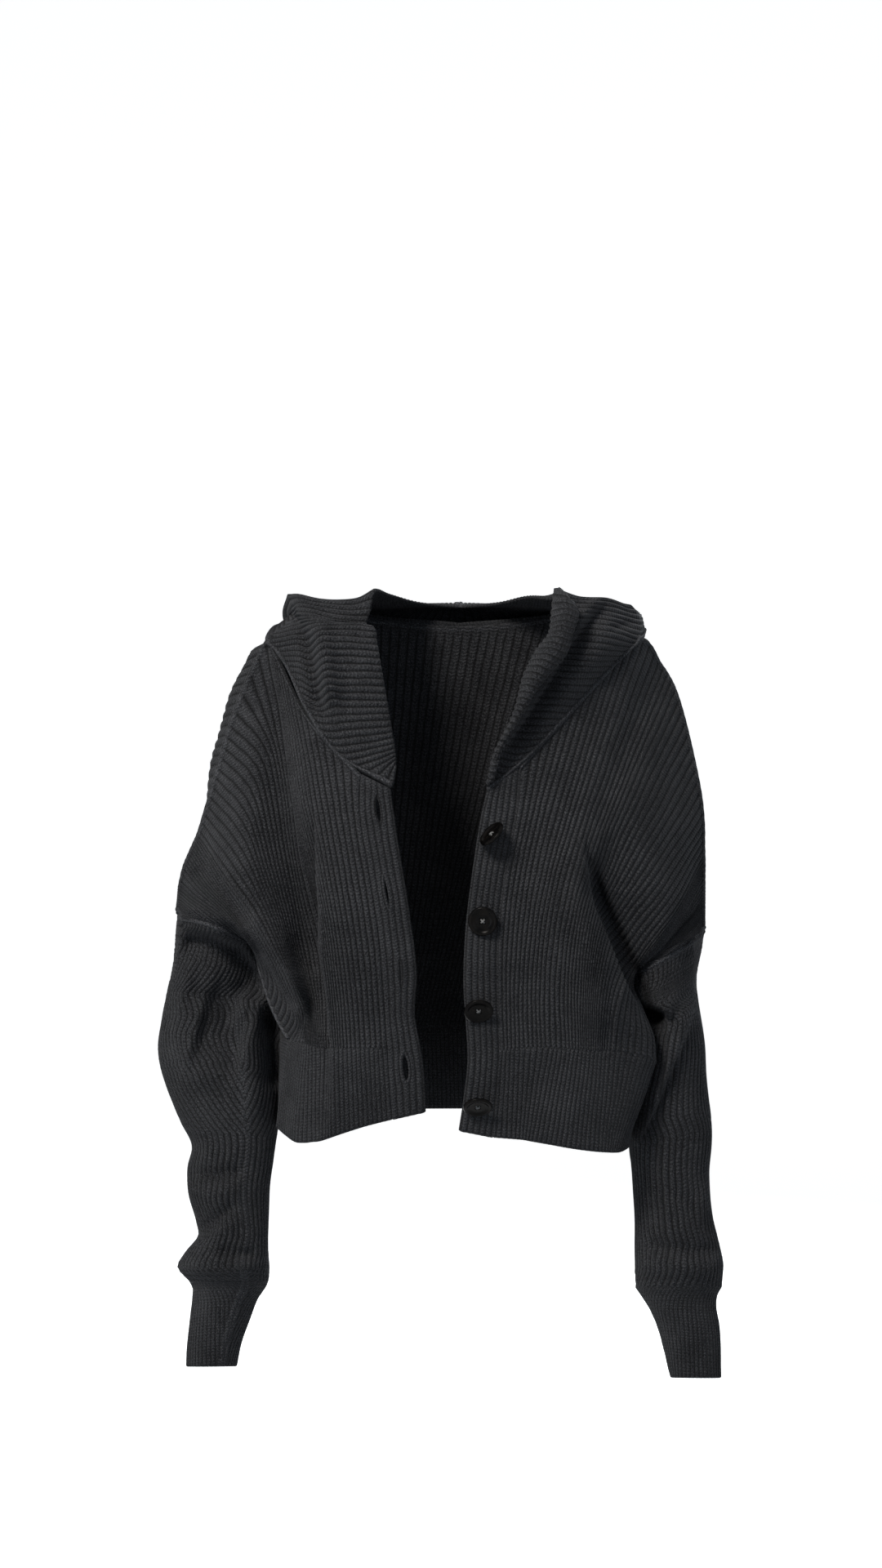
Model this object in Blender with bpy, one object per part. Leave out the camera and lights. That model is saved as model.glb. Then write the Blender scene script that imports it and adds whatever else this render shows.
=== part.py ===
"""A hooded cardigan in chunky half-cardigan rib, worn open, as hollow cloth walls.

Each panel is a surface of two parameters: s runs across the ribs and v along
them. The tables give one row per rib line (a wale) with its points from one
seam to the other, as seen from the front on a drawing grid of 0.76 mm:
columns are across, down and the depth behind the middle plane in mm
(negative is towards the front). A fold table adds the creases on top.
"""

import bmesh
import bpy
import numpy as np

# ---------------------------------------------------------------- named sizes
GRID = 0.76e-3  # one square of the front-view drawing grid, m
MID = 562.0  # the grid's centre line, squares across
ORIGIN_DOWN = 787.0  # the grid's zero height, squares down
EYE_DOWN = 960.0  # eye level of the drawing, squares down
EYE_AWAY = 2.5  # distance of the eye from the middle plane, m
WALL = 2.4e-3  # thickness of the knitted cloth
SEAM = 0.45e-3  # each piece stops this far short of a seam line
BUTTON_R = 13.0e-3  # button radius
BUTTON_T = 3.8e-3  # button thickness
SEAT = 0.3e-3  # gap between a button and the band it hangs on

# ------------------------------------------------------------------- tables
# Front edge and inner line of the two front bands, hem to neck.
BAND_R_EDGE = [(520, 1361, -118), (518, 1315, -121), (513, 1280, -124), (507, 1246, -126), (509, 1195, -128),
               (502, 1130, -128), (491, 1060, -126), (481, 998, -122), (477, 967, -118)]
BAND_R_INNER = [(480, 1370, -117), (478, 1340, -120), (476, 1312, -122)]  # below the waist; above it, the front's first wale
BAND_L_EDGE = [(563, 1384, -118), (569, 1345, -122), (574, 1300, -125), (572, 1258, -127), (569, 1205, -129),
               (572, 1130, -129), (582, 1053, -127), (591, 998, -122), (598, 969, -118)]
BAND_L_INNER = [(604, 1392, -117), (608, 1357, -120), (611, 1320, -123)]

# Wales of the right front from its lower seam up to the neck or shoulder seam.
# The last rows leave the hem at the side seam (E), the under-arm (U) and meet at
# the outer end of the armhole (D).
FRONT_R = [
    [(474, 1284, -124), (469, 1208, -128), (463, 1140, -129), (452, 1068, -127), (441, 1000, -121), (441, 949, -112)],
    [(437, 1284, -122), (432, 1215, -127), (424, 1150, -128), (411, 1072, -125), (396, 985, -113), (377, 879, -84)],
    [(412, 1284, -120), (407, 1215, -124), (399, 1150, -125), (383, 1062, -118), (364, 962, -100), (337, 799, -44)],
    [(398, 1284, -118), (391, 1218, -121), (384, 1152, -121), (368, 1058, -112), (346, 945, -88), (327, 783, -28)],
    [(391, 1284, -111), (382, 1220, -108), (370, 1150, -104), (345, 1048, -97), (316, 930, -76), (300, 832, -36)],
    [(382, 1281, -104), (378, 1228, -99), (358, 1160, -97), (325, 1075, -90), (294, 985, -72), (277, 904, -36)],
    [(370, 1277, -92), (372, 1238, -99), (350, 1182, -101), (314, 1120, -96), (281, 1075, -80), (250, 997, -24)],
    [(353, 1272, -58), (362, 1245, -82), (341, 1194, -92), (304, 1130, -90), (270, 1080, -74), (242, 1021, -16)],
    [(333, 1235, -44), (337, 1204, -64), (316, 1160, -74), (287, 1118, -76), (258, 1086, -62), (233, 1042, -9)],
    [(321, 1195, -34), (314, 1168, -54), (297, 1142, -66), (274, 1116, -67), (249, 1092, -53), (225, 1062, -5)],
    [(307, 1156, -26), (299, 1147, -44), (284, 1133, -57), (265, 1118, -59), (244, 1103, -48), (220, 1083, -3)],
    [(264, 1132, -56), (257, 1129, -55), (249, 1125, -52), (240, 1119, -46), (230, 1111, -34), (218, 1102, -2)],
    [(224, 1124, -24), (223, 1122, -21), (221, 1120, -18), (220, 1118, -14), (219, 1117, -10), (217, 1116, -2)],
]


FRONT_L = [
    [(613, 1286, -125), (610, 1215, -128), (611, 1140, -128), (619, 1070, -126), (632, 1000, -119), (638, 937, -106)],
    [(630, 1284, -124), (629, 1215, -127), (634, 1145, -128), (650, 1070, -124), (675, 985, -112), (697, 874, -80)],
    [(641, 1283, -123), (640, 1215, -126), (647, 1145, -127), (666, 1070, -123), (696, 985, -108), (738, 829, -58)],
    [(652, 1283, -121), (652, 1215, -125), (660, 1145, -126), (682, 1070, -120), (717, 985, -102), (784, 782, -22)],
    [(675, 1284, -118), (676, 1215, -123), (686, 1145, -122), (707, 1072, -112), (742, 985, -88), (808, 810, 6)],
    [(697, 1285, -115), (699, 1215, -118), (709, 1145, -112), (731, 1075, -90), (772, 985, -76), (832, 858, 12)],
    [(718, 1286, -108), (723, 1222, -104), (737, 1160, -86), (762, 1118, -74), (804, 1060, -66), (858, 972, 15)],
    [(740, 1287, -94), (750, 1244, -84), (766, 1206, -68), (785, 1166, -62), (822, 1116, -54), (862, 1045, 13)],
    [(778, 1297, -76), (790, 1270, -72), (787, 1236, -64), (776, 1197, -56), (818, 1145, -48), (862, 1072, 11)],
    [(786, 1307, -56), (781, 1268, -42), (772, 1228, -38), (770, 1195, -44), (814, 1158, -44), (862, 1096, 10)],
    [(760, 1208, -26), (763, 1203, -34), (769, 1195, -42), (788, 1180, -47), (824, 1151, -41), (862, 1112, 9)],
    [(800, 1179, -49), (808, 1173, -48), (818, 1166, -46), (830, 1157, -41), (845, 1146, -26), (862, 1126, 8)],
    [(850, 1150, -22), (853, 1148, -19), (855, 1146, -15), (858, 1144, -10), (860, 1142, -5), (862, 1138, 4)],
]
# Rows of each table where the neck meets the shoulder, the side seam meets the hem, and the under-arm is.
NECK_R, SIDE_R, ARM_R = 3, 7, 10
NECK_L, SIDE_L, ARM_L = 3, 9, 10

# Back neck seam and the back halves of the armholes, from the front's last point.
NECK_BACK = [(327, 783, -28), (336, 766, 14), (352, 757, 38), (400, 752, 62), (480, 761, 78), (562, 768, 84),
             (644, 761, 79), (722, 752, 63), (770, 757, 38), (783, 766, 16), (784, 782, -22)]
ARMHOLE_BACK_R = [(217, 1116, -2), (225, 1122, 36), (250, 1138, 62), (285, 1160, 62), (308, 1172, 30), (307, 1156, -26)]
ARMHOLE_BACK_L = [(862, 1138, 4), (855, 1142, 40), (830, 1156, 64), (797, 1178, 60), (770, 1200, 26), (760, 1208, -26)]
# The hem band: its upper line behind the side seams and its lower line all round.
WAIST_BACK = [(353, 1272, -58), (344, 1272, -22), (347, 1270, 22), (362, 1266, 62), (400, 1263, 90), (470, 1261, 104),
              (562, 1260, 108), (654, 1261, 104), (722, 1264, 90), (756, 1270, 60), (768, 1282, 20), (774, 1296, -18),
              (786, 1307, -56)]
HEM_R = [(480, 1370, -117), (441, 1380, -116), (414, 1389, -114), (398, 1394, -112), (391, 1396, -110),
         (382, 1397, -106), (369, 1397, -96), (338, 1380, -52)]
HEM_L = [(604, 1392, -117), (630, 1394, -117), (641, 1395, -116), (652, 1397, -116), (675, 1401, -115),
         (697, 1405, -112), (718, 1408, -108), (740, 1410, -102), (761, 1410, -90), (771, 1404, -58)]
HEM_BACK = [(338, 1380, -52), (340, 1376, -18), (344, 1371, 22), (360, 1365, 62), (400, 1360, 88), (470, 1357, 101),
            (562, 1356, 105), (654, 1357, 101), (722, 1361, 88), (752, 1368, 58), (760, 1380, 20), (764, 1392, -18),
            (771, 1404, -58)]

# Sleeves: one row per height, with outer and inner edge across, centre depth and half depth.
SLEEVE_R = [(1080, 217, 304, 2, 60), (1130, 216, 306, 2, 60), (1184, 211, 313, 1, 58), (1215, 205, 320, 0, 57),
            (1240, 200, 325, -1, 56),
            (1292, 195, 331, -3, 55), (1327, 203, 334, -5, 53), (1373, 221, 336, -8, 50), (1404, 236, 334, -9, 47),
            (1430, 230, 333, -10, 46), (1460, 230, 330, -12, 46), (1496, 241, 328, -14, 43), (1513, 244, 328, -15, 42),
            (1534, 227, 329, -16, 45), (1552, 218, 330, -17, 46), (1568, 232, 328, -18, 39)]
SLEEVE_L = [(1100, 862, 764, 6, 58), (1150, 861, 767, 5, 58), (1200, 853, 780, 4, 57), (1235, 856, 787, 3, 55),
            (1286, 863, 788, 1, 53), (1337, 866, 784, -2, 51), (1404, 871, 775, -6, 47), (1439, 868, 775, -8, 46),
            (1480, 871, 777, -10, 45), (1526, 881, 778, -13, 43), (1547, 885, 779, -15, 43), (1576, 883, 779, -17, 38)]
CUFF_R = [(1568, 232, 328, -18, 39), (1576, 236, 325, -18, 35), (1588, 236, 317, -18, 32), (1613, 233, 307, -19, 30), (1640, 230, 297, -20, 29),
          (1672, 228, 290, -21, 28)]
CUFF_L = [(1576, 883, 779, -17, 38), (1584, 879, 785, -17, 35), (1598, 877, 794, -18, 32), (1620, 880, 804, -19, 30), (1650, 882, 813, -20, 29),
          (1686, 883, 822, -21, 28)]

# Hood halves: one row per wale from the free edge (first) over the turned lapel and
# the roll to the neck seam (sixth), and for the upper wales on to the centre seam.
HOOD_R = [
    [(484, 938, -112), (483, 943, -113), (482, 948, -114), (481, 953, -115), (480, 958, -116), (478, 963, -117)],
    [(481, 912, -112), (466, 916, -112), (452, 919, -110), (438, 922, -107), (425, 924, -105), (412, 923, -101)],
    [(474, 868, -108), (455, 868, -110), (436, 868, -108), (416, 869, -104), (395, 871, -97), (374, 868, -86)],
    [(466, 820, -102), (446, 819, -106), (424, 819, -105), (400, 821, -101), (378, 823, -90), (353, 821, -62)],
    [(460, 785, -97), (440, 783, -101), (418, 781, -101), (396, 784, -95), (370, 790, -72), (337, 796, -42)],
    [(457, 768, -94), (436, 765, -97), (414, 765, -95), (392, 766, -88), (366, 774, -62), (327, 783, -28),
     (336, 764, 16), (400, 750, 64), (480, 758, 80), (562, 765, 86)],
    [(447, 764, -70), (428, 762, -72), (406, 759, -68), (384, 753, -58), (364, 753, -36), (345, 758, -4),
     (344, 752, 38), (400, 763, 80), (480, 776, 96), (562, 783, 102)],
    [(452, 745, -62), (432, 747, -60), (410, 745, -54), (386, 741, -46), (366, 738, -26), (350, 744, 4),
     (347, 758, 56), (398, 795, 102), (480, 812, 118), (562, 820, 122)],
    [(457, 722, -48), (438, 733, -44), (412, 735, -38), (386, 733, -32), (366, 728, -14), (353, 728, 14),
     (350, 762, 80), (398, 830, 124), (480, 862, 134), (562, 876, 137)],
    [(478, 728, 10), (458, 735, 20), (434, 738, 28), (410, 738, 40), (388, 737, 54), (368, 742, 76),
     (362, 785, 108), (402, 858, 138), (480, 902, 145), (562, 913, 147)],
    [(515, 738, 62), (496, 740, 73), (474, 742, 84), (452, 745, 96), (428, 751, 108), (402, 765, 124),
     (400, 815, 142), (432, 872, 151), (490, 904, 154), (562, 914, 155)],
    [(562, 742, 90), (562, 738, 104), (562, 741, 118), (562, 752, 130), (562, 770, 140), (562, 795, 148),
     (562, 828, 154), (562, 860, 158), (562, 888, 160), (562, 908, 159)],
]
HOOD_L = [
    [(601, 955, -121), (600, 958, -122), (598, 961, -119), (598, 964, -118), (598, 966, -118), (598, 968, -117)],
    [(612, 916, -124), (608, 919, -127), (604, 923, -118), (618, 925, -111), (634, 927, -108), (650, 924, -103)],
    [(641, 868, -122), (633, 868, -126), (626, 870, -114), (648, 868, -104), (676, 868, -98), (701, 870, -79)],
    [(665, 831, -119), (651, 828, -123), (637, 828, -108), (668, 824, -99), (706, 826, -92), (741, 826, -57)],
    [(690, 802, -113), (672, 797, -119), (653, 799, -101), (690, 794, -90), (732, 797, -80), (768, 799, -39)],
    [(699, 776, -105), (686, 772, -111), (671, 777, -92), (704, 768, -78), (746, 770, -64), (784, 782, -22),
     (783, 764, 18), (722, 750, 65), (644, 758, 80), (562, 765, 86)],
    [(706, 752, -92), (692, 748, -99), (675, 750, -80), (710, 744, -62), (748, 748, -44), (783, 758, 0),
     (778, 752, 40), (722, 763, 80), (644, 776, 96), (562, 783, 102)],
    [(697, 738, -78), (690, 730, -84), (682, 724, -66), (710, 732, -50), (745, 733, -32), (774, 743, 6),
     (776, 758, 58), (724, 795, 103), (644, 812, 118), (562, 820, 122)],
    [(672, 732, -30), (680, 727, -34), (688, 726, -28), (710, 733, -20), (742, 735, -10), (770, 742, 16),
     (772, 765, 80), (724, 830, 124), (644, 862, 134), (562, 876, 137)],
    [(646, 730, 12), (664, 736, 22), (688, 738, 31), (712, 739, 42), (734, 740, 55), (756, 744, 77),
     (762, 786, 108), (722, 858, 138), (644, 902, 145), (562, 913, 147)],
    [(609, 738, 62), (628, 740, 73), (650, 742, 84), (672, 745, 96), (696, 751, 108), (722, 765, 124),
     (724, 815, 142), (692, 872, 151), (634, 904, 154), (562, 914, 155)],
    [(562, 742, 90), (562, 738, 104), (562, 741, 118), (562, 752, 130), (562, 770, 140), (562, 795, 148),
     (562, 828, 154), (562, 860, 158), (562, 888, 160), (562, 908, 159)],
]
HOOD_SEAM_AT = 5  # the point of each row that lies on the neck seam

# Creases: (downs), (acrosses), (depths mm), softness before and after the line.
# The cloth on the side of the first softness drops away by the depth, then recovers.
FOLDS_R = [((990, 1080, 1159, 1240, 1312, 1400), (384, 384, 385, 394, 404, 402), (0, 10, 20, 26, 22, 4), 24.0, 2.6),
           ((820, 900, 1010, 1080, 1150), (318, 326, 340, 350, 362), (0, 7, 9, 6, 0), 18.0, 18.0)]
FOLDS_L = [((1015, 1060, 1110, 1179, 1246, 1292, 1330), (711, 717, 728, 756, 787, 803, 790), (0, -12, -26, -34, -34, -24, 0),
            62.0, 2.6)]
# Buttons: across, down, and the way the face points: to the right, and up, degrees.
BUTTONS = [(602, 1021, -58, 40), (591, 1128, -8, -6), (586, 1237, 4, -37), (585, 1354, 4, -49)]
# Buttonholes: across, down, height and width in mm, lean in degrees.
BUTTONHOLES = [(459, 992, 24, 3.6, 8), (474, 1093, 30, 3.0, 10), (491, 1190, 24, 1.8, 8), (497, 1307, 25, 3.8, 11)]


# ------------------------------------------------------------- interpolation
def cubic(knots, values, at):
    """Smooth curve through values at knots: a cubic in each span whose slopes
    at the knots are the span slopes weighted by the neighbouring lengths."""
    k, y, t = np.asarray(knots, float), np.asarray(values, float), np.asarray(at, float)
    h = np.diff(k)
    d = np.diff(y, axis=0) / h.reshape((-1,) + (1,) * (y.ndim - 1))
    m = np.empty_like(y)
    w = h.reshape((-1,) + (1,) * (y.ndim - 1))
    m[1:-1] = (w[:-1] * d[1:] + w[1:] * d[:-1]) / (w[:-1] + w[1:])
    m[0], m[-1] = d[0], d[-1]
    i = np.clip(np.searchsorted(k, t, side="right") - 1, 0, len(h) - 1)
    u = ((t - k[i]) / h[i]).reshape((-1,) + (1,) * (y.ndim - 1))
    hi = h[i].reshape(u.shape)
    return ((1 + 2 * u) * (1 - u) ** 2 * y[i] + u * (1 - u) ** 2 * hi * m[i]
            + u * u * (3 - 2 * u) * y[i + 1] + u * u * (u - 1) * hi * m[i + 1])


def placed(seen):
    """Turns (across, down, depth) into metres: a point at depth y looks
    (2.5 m + y) / 2.5 m times smaller than on the middle plane."""
    q = np.asarray(seen, float)
    y = q[..., 2] * 1e-3
    k = 1 + y / EYE_AWAY
    eye_z = (ORIGIN_DOWN - EYE_DOWN) * GRID
    return np.stack([(q[..., 0] - MID) * GRID * k, y, eye_z + (EYE_DOWN - q[..., 1]) * GRID * k], axis=-1)


def lengths(points):
    """Running length along a row of 3-D points."""
    return np.concatenate([[0.0], np.cumsum(np.linalg.norm(np.diff(points, axis=0), axis=1))])


def fold_depth(folds, seen):
    """Depth added by the creases at (across, down): full at the line, fading
    exponentially with one softness on each side."""
    out = np.zeros(seen.shape[:-1])
    for downs, acrosses, depths, before, after in folds:
        line = np.interp(seen[..., 1], downs, acrosses)
        depth = np.interp(seen[..., 1], downs, depths, left=0.0, right=0.0)
        d = seen[..., 0] - line
        out += depth * np.where(d < 0, np.exp(-((d / before) ** 2)), np.exp(-((d / after) ** 2)))
    return out


def wale_surface(rows, folds=(), fade=None):
    """A panel from its wale rows. Returns a function of (s, v): s counts rows
    across the ribs, v goes 0 to 1 along them. Folds fade out past a row."""
    table = np.array(rows, float)

    def at(s, v):
        along = cubic(np.linspace(0, 1, table.shape[1]), np.swapaxes(table, 0, 1), v)  # (nv, rows, 3)
        grid = cubic(np.arange(len(table)), np.swapaxes(along, 0, 1), s)  # (ns, nv, 3)
        if len(folds):
            keep = np.ones(len(grid)) if fade is None else np.clip((fade + 1 - np.asarray(s)) / 1.0, 0, 1)
            grid[..., 2] += fold_depth(folds, grid) * keep[:, None]
        return grid

    return at


def between(a, b, n):
    return np.linspace(a, b, n)


# ------------------------------------------------------------ meshes
def point_normals(outer, quads):
    """The normal at each point: the sum of the normals of the quads round it."""
    a, b, c, d = (outer[quads[:, i]] for i in range(4))
    face_n = np.cross(c - a, d - b)
    normal = np.zeros_like(outer)
    for i in range(4):
        np.add.at(normal, quads[:, i], face_n)
    return normal / np.maximum(np.linalg.norm(normal, axis=1), 1e-12)[:, None]


def open_edges(quads):
    """The directed edges that only one quad has."""
    edges = np.concatenate([quads[:, [i, (i + 1) % 4]] for i in range(4)])
    _, first, count = np.unique(np.sort(edges, axis=1), axis=0, return_index=True, return_counts=True)
    return edges[first[count == 1]]


def mitred(pieces, reach=6e-3):
    """Gives the two sides of each seam the same wall direction: a rim point's
    normal becomes the mean of its own and that of the nearest rim point of
    another piece within reach."""
    normals = {n: point_normals(p, q) for n, (p, q, _) in pieces.items()}
    rims = {n: np.unique(open_edges(q)) for n, (p, q, _) in pieces.items()}
    out = {n: normals[n].copy() for n in pieces}
    for n, (p, q, _) in pieces.items():
        others = [m for m in pieces if m != n]
        far = np.concatenate([pieces[m][0][rims[m]] for m in others])
        far_n = np.concatenate([normals[m][rims[m]] for m in others])
        mine = p[rims[n]]
        gap = np.linalg.norm(mine[:, None] - far[None], axis=2)
        weight = np.exp(-((gap / 3e-3) ** 2)) * (gap < 4 * reach)
        near = gap.min(axis=1) < reach
        theirs = (weight[:, :, None] * far_n[None]).sum(1) / np.maximum(weight.sum(1), 1e-30)[:, None]
        theirs /= np.maximum(np.linalg.norm(theirs, axis=1), 1e-9)[:, None]
        both = normals[n][rims[n]] + theirs
        both /= np.maximum(np.linalg.norm(both, axis=1), 1e-9)[:, None]
        out[n][rims[n][near]] = both[near]
    return out


def shell(name, outer, quads, normal, wall=WALL):
    """A closed thin solid: the outer points, the same points moved inwards by
    the wall along their normals, and a rim round the open edges."""
    outer = np.asarray(outer, float)
    quads = np.asarray(quads, int)
    n = len(outer)
    points = np.concatenate([outer, outer - normal * wall])
    rim = open_edges(quads)
    faces = [tuple(q) for q in quads] + [tuple(q[::-1] + n) for q in quads]
    faces += [(e[1], e[0], e[0] + n, e[1] + n) for e in rim]
    mesh = bpy.data.meshes.new(name)
    mesh.from_pydata([tuple(p) for p in points], [], [tuple(int(i) for i in f) for f in faces])
    tidy = bmesh.new()
    tidy.from_mesh(mesh)
    bmesh.ops.triangulate(tidy, faces=tidy.faces[:])
    if tidy.calc_volume(signed=True) < 0:
        bmesh.ops.reverse_faces(tidy, faces=tidy.faces[:])
    tidy.to_mesh(mesh)
    tidy.free()
    return mesh


def grid_quads(ns, nv, closed=False):
    """Quads of an ns by nv grid of points, the first index wrapping if closed."""
    i, j = np.meshgrid(np.arange(ns if closed else ns - 1), np.arange(nv - 1), indexing="ij")
    i, j = i.ravel(), j.ravel()
    k = (i + 1) % ns
    return np.stack([i * nv + j, k * nv + j, k * nv + j + 1, i * nv + j + 1], axis=1)


def added(name, mesh, material, home):
    thing = bpy.data.objects.new(name, mesh)
    mesh.materials.append(material)
    home.objects.link(thing)
    return thing


def outward(seen_grid, closed=False, flip=False):
    """Whether the quads of this grid face out is fixed here by turning them."""
    ns, nv = seen_grid.shape[:2]
    quads = grid_quads(ns, nv, closed)
    return quads[:, ::-1] if flip else quads


# ------------------------------------------------------------ the scene
for old in list(bpy.data.objects):
    bpy.data.objects.remove(old)
garment = bpy.data.collections.new("hooded_cardigan")
helpers = bpy.data.collections.new("cutters")
bpy.context.scene.collection.children.link(garment)
bpy.context.scene.collection.children.link(helpers)


def material(name, colour, roughness, metallic=0.0):
    made = bpy.data.materials.new(name)
    made.use_nodes = True
    shader = made.node_tree.nodes["Principled BSDF"]
    shader.inputs["Base Color"].default_value = (*colour, 1.0)
    shader.inputs["Roughness"].default_value = roughness
    shader.inputs["Metallic"].default_value = metallic
    return made


RIB = material("chunky_rib", (0.034, 0.031, 0.031), 0.92)
FINE = material("fine_rib", (0.032, 0.030, 0.030), 0.92)
HORN = material("button_horn", (0.010, 0.009, 0.009), 0.32)

# ---------------------------------------------------- fronts and front bands
front_r = wale_surface(FRONT_R, FOLDS_R, fade=6)
front_l = wale_surface(FRONT_L, FOLDS_L, fade=7)


def by_length(points):
    """Knots from 0 to 1 by running length for points of the drawing."""
    k = lengths(placed(points))
    return k / k[-1]


def band_strip(edge, inner, front):
    """The front band between its edge and its inner line, slightly domed. The
    inner line is the table's below the waist and the front's first wale above."""
    e = np.array(edge, float)
    i = np.concatenate([np.array(inner, float), front([0.0], np.linspace(0, 1, 13))[0]])
    ke, ki = by_length(e), by_length(i)

    def at(s, v):
        a, b = cubic(ke, e, v), cubic(ki, i, v)
        s = np.asarray(s, float)[:, None, None]
        grid = a[None] * (1 - s) + b[None] * s
        grid[..., 2] -= (2.0 * 4 * s * (1 - s))[..., 0]
        return grid

    return at


band_r, band_l = band_strip(BAND_R_EDGE, BAND_R_INNER, front_r), band_strip(BAND_L_EDGE, BAND_L_INNER, front_l)


def inset_grid(at, s, v, s_gap=(0.0, 0.0), v_gap=(0.0, 0.0)):
    """Samples a surface with its ends drawn in from the seams by a length."""
    full = placed(at(s, v))
    out = at(s, v)
    across = np.linalg.norm(np.diff(full, axis=0), axis=2).sum(0)
    along = np.linalg.norm(np.diff(full, axis=1), axis=2).sum(1)
    first = np.linalg.norm(full[1] - full[0], axis=1)
    last = np.linalg.norm(full[-1] - full[-2], axis=1)
    if s_gap[0]:
        out[0] += (out[1] - out[0]) * np.minimum(s_gap[0] / np.maximum(first, 1e-6), 0.45)[:, None]
    if s_gap[1]:
        out[-1] += (out[-2] - out[-1]) * np.minimum(s_gap[1] / np.maximum(last, 1e-6), 0.45)[:, None]
    start = np.linalg.norm(full[:, 1] - full[:, 0], axis=1)
    stop = np.linalg.norm(full[:, -1] - full[:, -2], axis=1)
    if v_gap[0]:
        out[:, 0] += (out[:, 1] - out[:, 0]) * np.minimum(v_gap[0] / np.maximum(start, 1e-6), 0.45)[:, None]
    if v_gap[1]:
        out[:, -1] += (out[:, -2] - out[:, -1]) * np.minimum(v_gap[1] / np.maximum(stop, 1e-6), 0.45)[:, None]
    return out


cloth = {}
S_R = np.concatenate([[0, 0.8, 1.6, 2.3], between(3, 6.5, 8), [7, 8, 9], between(10, 12, 9)])
S_L = np.concatenate([[0, 0.8, 1.6, 2.3, 3, 3.5], between(4, 8, 11), [8.5, 9, 9.5], between(10, 12, 9)])
V_FRONT = np.concatenate([[0, 0.04], between(0.14, 0.86, 7), [0.96, 1.0]])

for name, at, s in (("front_right", front_r, S_R), ("front_left", front_l, S_L)):
    seen = inset_grid(at, s, V_FRONT, (SEAM, SEAM), (2 * SEAM, 2 * SEAM))
    quads = outward(seen, flip=name.endswith("right"))
    cloth[name] = (placed(seen).reshape(-1, 3), quads, RIB)

V_BAND = between(0, 1, 25)
for name, at in (("placket_right", band_r), ("placket_left", band_l)):
    seen = inset_grid(at, between(0, 1, 4), V_BAND, (0, SEAM), (0, 2 * SEAM))
    quads = outward(seen, flip=name.endswith("right"))
    cloth[name] = (placed(seen).reshape(-1, 3), quads, RIB)

# -------------------------------------------------------------------- back
N_NECK, N_HOLE = 12, 10  # points of the back neck and of a back armhole


def resampled(points, n):
    """n points evenly spaced by length along a smooth curve through points."""
    p = np.array(points, float)
    k = lengths(placed(p))
    fine = cubic(k, p, np.linspace(0, k[-1], 400))
    k2 = lengths(placed(fine))
    want = np.linspace(0, k2[-1], n)
    return np.stack([np.interp(want, k2, fine[:, i]) for i in range(3)], axis=1)


def edge_of(front, s, v):
    """Points of a front's seam: v = 0 is its lower edge, 1 its upper edge."""
    return front(np.asarray(s, float), np.array([float(v)]))[:, 0]


def back_edges(s_r, s_l):
    """Upper and lower edge of the back as rows of matching points, right to
    left. They are the fronts' own points wherever the back is sewn to a front."""
    up_r, up_l = s_r[s_r >= NECK_R][::-1], s_l[s_l >= NECK_L]
    top = np.concatenate([edge_of(front_r, up_r, 1), resampled(NECK_BACK, N_NECK)[1:-1], edge_of(front_l, up_l, 1)])
    side_r, side_l = s_r[(s_r >= SIDE_R) & (s_r < ARM_R)][::-1], s_l[(s_l >= SIDE_L) & (s_l < ARM_L)]
    n_waist = len(top) - 2 * N_HOLE - len(side_r) - len(side_l) + 2
    low = np.concatenate([resampled(ARMHOLE_BACK_R, N_HOLE), edge_of(front_r, side_r, 0), resampled(WAIST_BACK, n_waist)[1:-1],
                          edge_of(front_l, side_l, 0), resampled(ARMHOLE_BACK_L[::-1], N_HOLE)])
    return top, low, n_waist


top, low, n_waist = back_edges(S_R, S_L)
for end, near in ((0, 1), (-1, -2)):  # open the two pointed ends a little, so that no rib line has zero length
    for edge in (top, low):
        step = np.linalg.norm(placed(edge[near]) - placed(edge[end]))
        edge[end] += (edge[near] - edge[end]) * min(1.6e-3 / step, 0.5)
# Depth of the back half-way up each rib line, by its place across.
BACK_DEPTH = [(215, 1), (218, 17), (227, 42), (245, 56), (275, 70), (320, 82), (380, 97), (470, 108), (562, 112), (654, 108),
              (744, 97), (804, 82), (845, 66), (854, 44), (861, 12), (866, 6)]
# How far the back tucks in behind the side seams, by the place of its lower edge across.
BACK_TUCK = [(285, 0), (307, 16), (322, 12), (335, 8), (350, 0), (745, 0), (762, 16), (774, 23), (781, 25), (787, 36),
             (797, 20), (808, 0)]
FOLDS_BACK = [((900, 1000, 1120, 1230, 1262), (372, 392, 410, 424, 430), (0, 5, 8, 7, 2), 20.0, 20.0),
              ((930, 1040, 1150, 1262), (748, 726, 704, 690), (0, 5, 8, 3), 20.0, 20.0),
              ((1080, 1180, 1262), (500, 508, 512), (0, 4, 1), 16.0, 16.0),
              ((1060, 1160, 1262), (622, 616, 612), (0, 5, 1), 18.0, 18.0)]


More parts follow.
